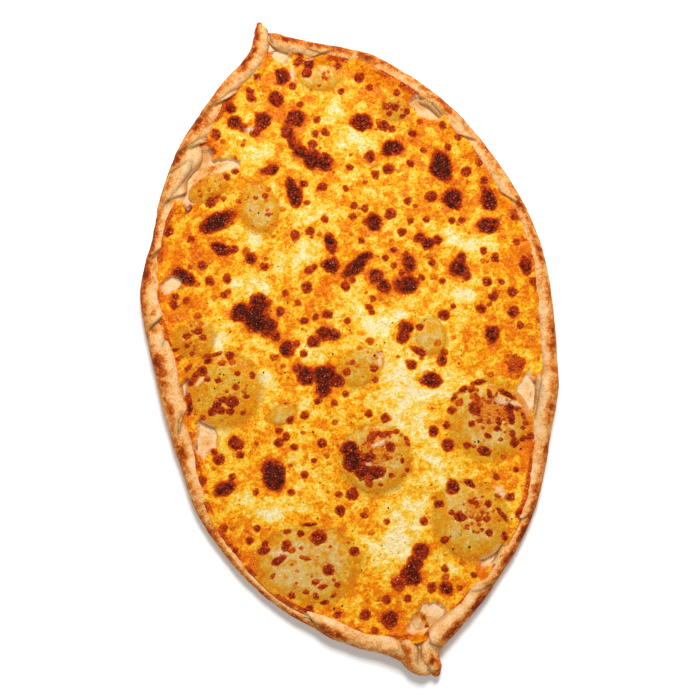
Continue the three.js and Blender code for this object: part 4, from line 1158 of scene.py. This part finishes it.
def browned_heat(tree, browned, patterns):
    """Heat of a browned spot: rough with curds and bubbles in its middle, nearly even at its edge. The
    bubbles paint shade: darker in the gaps between them and lighter in their middles.
    """
    curdled = add_node(tree, MATH, {0: patterns["curds"], 1: 0.6, 2: -0.43}, operation="MULTIPLY_ADD")
    # painted shade: more heat, so darker colour, in the gaps between bubbles
    rough = add_node(tree, MATH, {0: patterns["bubbles"], 1: 0.28, 2: curdled}, operation="MULTIPLY_ADD")
    roughness = add_node(
        tree, RANGE, {"Value": browned, "From Min": 0.62, "From Max": 0.84, "To Min": 0.3, "To Max": 1}
    )
    return add_node(tree, MATH, {0: rough, 1: roughness, 2: browned}, operation="MULTIPLY_ADD")


def cheese_colour(tree, warmth, spot_heat, patterns):
    """Colour of the cheese by its heat, from cream through yellow and orange to black-brown: the patches,
    clots and flecks warm or cool it, only halfway up to orange, and a browned spot hides them."""
    mottled = warmth
    for name, strength in MOTTLING.items():
        mottled = add_node(
            tree, MATH, {0: patterns[name], 1: strength, 2: mottled}, operation="MULTIPLY_ADD"
        )
    mean_heat = sum(MOTTLING.values()) / 2
    heat = add_node(tree, MATH, {0: mottled, 1: mean_heat}, operation="SUBTRACT")
    held_back = add_node(tree, MATH, {0: heat, 1: 0.45, 2: 0.28}, operation="MULTIPLY_ADD")
    unspotted = add_node(tree, MATH, {0: heat, 1: held_back}, operation="MINIMUM")
    hottest = add_node(tree, MATH, {0: unspotted, 1: spot_heat}, operation="MAXIMUM")
    return add_node(tree, COLOUR_RAMP, {"Fac": hottest}, stops=CHEESE_STOPS)


def potato_colour(tree, tone, patterns):
    """Colour of the potato under its film of oil, from pale khaki to gold, mottled like the cheese."""
    toned = add_node(tree, MATH, {0: patterns["patches"], 1: 0.35, 2: tone}, operation="MULTIPLY_ADD")
    mottled = add_node(tree, MATH, {0: patterns["curds"], 1: 1.6, 2: toned}, operation="MULTIPLY_ADD")
    level = add_node(tree, MATH, {0: mottled, 1: 0.97}, operation="SUBTRACT")
    return add_node(tree, COLOUR_RAMP, {"Fac": level}, stops=POTATO_STOPS)


def potato_showing(tree, potato, spot_heat, curds):
    """How much potato shows: none under a browned spot, and about half under a curd of cheese."""
    unbrowned = add_node(
        tree, RANGE, {"Value": spot_heat, "From Min": 0.44, "From Max": 0.6, "To Min": 1, "To Max": 0}
    )
    uncovered = add_node(
        tree, RANGE, {"Value": curds, "From Min": 0.5, "From Max": 0.66, "To Min": 1, "To Max": 0.55}, **SOFT
    )
    clear = add_node(tree, MATH, {0: unbrowned, 1: uncovered}, operation="MULTIPLY")
    return add_node(tree, MATH, {0: clear, 1: potato}, operation="MULTIPLY")


def painted_glints(tree, patterns):
    """Share of painted glints: small pale spots of painted highlight in the middle of some bubbles, a little
    fainter on blisters.
    """
    glint_middle = add_node(
        tree, RANGE,
        {"Value": patterns["bubbles"], "From Min": 0.1, "From Max": 0.24, "To Min": 1, "To Max": 0},
        **SOFT,
    )
    chosen = add_node(
        tree, RANGE, {"Value": patterns["chance"], "From Min": 0.55, "From Max": 0.85}, **SOFT
    )
    strength = add_node(
        tree, MATH, {0: patterns["blistered"], 1: -0.1, 2: 0.6}, operation="MULTIPLY_ADD"
    )
    placed_glints = add_node(tree, MATH, {0: glint_middle, 1: chosen}, operation="MULTIPLY")
    return add_node(tree, MATH, {0: placed_glints, 1: strength}, operation="MULTIPLY")


def skin_brightness(tree, grains, potato):
    """Brightness of the skin: fine grains of browned milk, and a soft shade around each slice, strongest
    where half of the potato shows."""
    grainy = add_node(
        tree, RANGE, {"Value": grains, "From Min": 0.3, "From Max": 0.7, "To Min": 1.09, "To Max": 0.76}
    )
    hidden = add_node(tree, MATH, {0: 1, 1: potato}, operation="SUBTRACT")
    rim = add_node(tree, MATH, {0: hidden, 1: potato}, operation="MULTIPLY")
    shade = add_node(tree, MATH, {0: rim, 1: -0.5, 2: 1}, operation="MULTIPLY_ADD")
    return add_node(tree, MATH, {0: grainy, 1: shade}, operation="MULTIPLY")


def skin_patterns(tree, browned):
    """The patterns in the skin of the filling: noise of three sizes, the soft patches, clots and flecks
    made from it, bent bubbles with a chance for each one, and how blistered the skin is."""
    place = add_node(tree, COORDINATES, {}, "Object")
    wide = add_node(tree, NOISE, {"Vector": place, "Scale": CHEESE_PATCHES, "Detail": 2.3, "Roughness": 0.5})
    curds = add_node(tree, NOISE, {"Vector": place, "Scale": CHEESE_CURDS, "Detail": 3, "Roughness": 0.55})
    grains = add_node(tree, NOISE, {"Vector": place, "Scale": MILK_GRAINS, "Detail": 2, "Roughness": 0.6})
    swirl = add_node(tree, NOISE, {"Vector": place, "Scale": BUBBLE_SWIRLS, "Detail": 2}, "Color")
    bent = add_node(tree, VECTOR_MATH, {0: swirl, 1: BUBBLE_BEND, 2: place}, operation="MULTIPLY_ADD")
    return {
        "curds": curds,
        "grains": grains,
        "patches": add_node(tree, RANGE, {"Value": wide, "From Min": 0.42, "From Max": 0.58}, **SOFT),
        "clots": add_node(tree, RANGE, {"Value": curds, "From Min": 0.42, "From Max": 0.6}, **SOFT),
        "flecks": add_node(tree, RANGE, {"Value": grains, "From Min": 0.4, "From Max": 0.6}, **SOFT),
        "bubbles": add_node(tree, CELLS, {"Vector": bent, "Scale": BLISTER_BUBBLES}, "Distance"),
        "chance": add_node(tree, CELLS, {"Vector": bent, "Scale": BLISTER_BUBBLES}, "Color"),
        "blistered": add_node(tree, RANGE, {"Value": browned, "From Min": 0.35, "From Max": 0.6}, **SOFT),
    }


def skin_colour(tree, fields, patterns):
    """Colour of the skin: cheese, with potato, dry cheese and painted glints over it, one after another."""
    spot_heat = browned_heat(tree, fields["browned"], patterns)
    potato = potato_colour(tree, fields["tone"], patterns)
    layers = [
        (potato_showing(tree, fields["potato"], spot_heat, patterns["curds"]), potato),
        (fields["streak"], linear(DRY_CHEESE)),
        (painted_glints(tree, patterns), linear(PAINTED_GLINT)),
    ]
    colour = cheese_colour(tree, fields["warmth"], spot_heat, patterns)
    for share, layer in layers:
        inputs = {"Factor": share, "A": colour, "B": layer}
        colour = add_node(tree, MIX, inputs, "Result", data_type="RGBA")
    brightness = skin_brightness(tree, patterns["grains"], fields["potato"])
    return add_node(tree, VECTOR_MATH, {0: colour, "Scale": brightness}, operation="SCALE")


def skin_relief(tree, potato, patterns):
    """Relief of the skin: bubbles on the blisters, and curds all over that are lower on the potato."""
    bubbles = {"Height": patterns["bubbles"], "Distance": BUBBLE_DEPTH, "Strength": patterns["blistered"]}
    crackled = add_node(tree, BUMP, bubbles, invert=True)
    lower = add_node(tree, MATH, {0: potato, 1: -0.7, 2: 1}, operation="MULTIPLY_ADD")
    curds = {"Height": patterns["curds"], "Distance": CURD_DEPTH, "Strength": lower, "Normal": crackled}
    return add_node(tree, BUMP, curds)


def filling_material(name, roughness):
    """Melted cheese and potato share one skin of oil and browned milk, so one function finishes both.
    Patches of 6 mm, clots of 2.5 mm and flecks of 1 mm mottle it, the blisters have a bubbly crust of
    1.4 mm cells, and a thin coat of oil gives it its small highlights, with painted glints added to its
    colour."""
    material, tree, shader = new_material(name)
    fields = {
        field: add_node(tree, ATTRIBUTE, {}, "Fac", attribute_name=field)
        for field in ("warmth", "browned", "potato", "tone", "streak")
    }
    patterns = skin_patterns(tree, fields["browned"])
    relief = skin_relief(tree, fields["potato"], patterns)
    oil = add_node(tree, MATH, {0: patterns["blistered"], 1: 0.06, 2: 0.1}, operation="MULTIPLY_ADD")
    set_inputs(tree, shader, {
        "Base Color": skin_colour(tree, fields, patterns),
        "Normal": relief,
        "Roughness": roughness,
        "Specular IOR Level": 0.15,
        "Specular Tint": linear(OIL_TINT),
        "Coat Weight": oil,
        "Coat Roughness": 0.1,
        "Coat Normal": relief,
    })
    return material


def pepper_material():
    """Cracked black pepper: dull black-brown husk with a few paler grains."""
    material, tree, shader = new_material("cracked black pepper")
    place = add_node(tree, COORDINATES, {}, "Object")
    shade = add_node(tree, NOISE, {"Vector": place, "Scale": PEPPER_HUSK, "Detail": 2, "Roughness": 0.5})
    husk = add_node(tree, COLOUR_RAMP, {"Fac": shade}, stops=PEPPER_STOPS)
    set_inputs(tree, shader, {"Base Color": husk, "Roughness": 0.8, "Specular IOR Level": 0.1})
    return material


# Studio

FLOOR_HALF_WIDTH = 1600 * METRES
FLOOR_GAP = 0.6 * METRES
SURROUND_STRENGTH = 0.38
LENS, SENSOR = 85.0, 36.0
VIEW_WIDTH = 370.1
VIEW_HEIGHT = 8  # height over the table at which the view is that wide
VIEW_CENTRE = (1.28, -0.34)
VIEW_UP = (0.257, 0.966)


def add_floor():
    """A plain pale floor just under the bread."""
    mesh = bpy.data.meshes.new("floor")
    half = FLOOR_HALF_WIDTH
    corners = [(-half, -half, 0), (half, -half, 0), (half, half, 0), (-half, half, 0)]
    mesh.from_pydata(corners, [], [(0, 1, 2, 3)])
    floor = bpy.data.objects.new("floor", mesh)
    floor.location.z = -FLOOR_GAP
    bpy.context.scene.collection.objects.link(floor)
    material, tree, shader = new_material("pale matt floor")
    set_inputs(tree, shader, {"Base Color": linear(FLOOR_WHITE), "Roughness": 0.9})
    mesh.materials.append(material)


def add_camera():
    """Straight above the bread, turned so that its upper tip points a little to the left, as shown."""
    data = bpy.data.cameras.new("camera")
    data.lens, data.sensor_width = LENS, SENSOR
    camera = bpy.data.objects.new("camera", data)
    centre = np.array(VIEW_CENTRE) + TO_FRAME[:2]
    distance = VIEW_WIDTH * LENS / SENSOR + VIEW_HEIGHT
    camera.location = (centre[0] * METRES, centre[1] * METRES, distance * METRES)
    camera.rotation_euler = (0, 0, -math.atan2(*VIEW_UP))
    bpy.context.scene.collection.objects.link(camera)
    bpy.context.scene.camera = camera


def add_light(name, place, size, power):
    """A square soft light that faces the middle of the bread."""
    data = bpy.data.lights.new(name, "AREA")
    data.size, data.energy = size, power
    light = bpy.data.objects.new(name, data)
    light.location = place
    direction = -np.array(place)
    light.rotation_euler = (
        math.acos(direction[2] / np.linalg.norm(direction)) + math.pi,
        0,
        math.atan2(direction[1], direction[0]) + math.pi / 2,
    )
    bpy.context.scene.collection.objects.link(light)


def add_studio():
    """Soft light from above and behind the upper tip, a weak one from the front and a pale surround."""
    world = bpy.data.worlds.new("studio")
    world.use_nodes = True
    background = world.node_tree.nodes["Background"]
    set_inputs(world.node_tree, background, {"Color": (1, 1, 1, 1), "Strength": SURROUND_STRENGTH})
    bpy.context.scene.world = world
    add_light("key", place=(0.28, 0.8, 1.1), size=0.4, power=21)
    add_light("fill", place=(-0.6, -0.5, 1.2), size=1.0, power=2)
    bpy.context.scene.view_settings.view_transform = "Standard"


def shift_to_frame():
    """How far the frame lies from the line through the tips, from the middle of the round slice."""
    low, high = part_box("potato_slice_03")
    middle = (np.array(low) + np.array(high)) / 2 / METRES
    return np.array([middle[0] - SLICES[2][0], middle[1] - SLICES[2][1], 0.0])


TO_FRAME = shift_to_frame()
SPOTS = all_blisters()
add_camera()
add_studio()
add_floor()

crust = baked_crust()
rolled_edge(LEFT_ROLL, "rolled_edge_left", crust)
rolled_edge(RIGHT_ROLL, "rolled_edge_right", crust)
dough_sheet(crust)
melted_cheese(filling_material("melted cheese", 0.36))
potato = filling_material("baked potato", 0.42)
for slice_number, slice_spot in enumerate(SLICES, 1):
    potato_slice(slice_number, slice_spot, potato)
cracked_pepper(pepper_material())
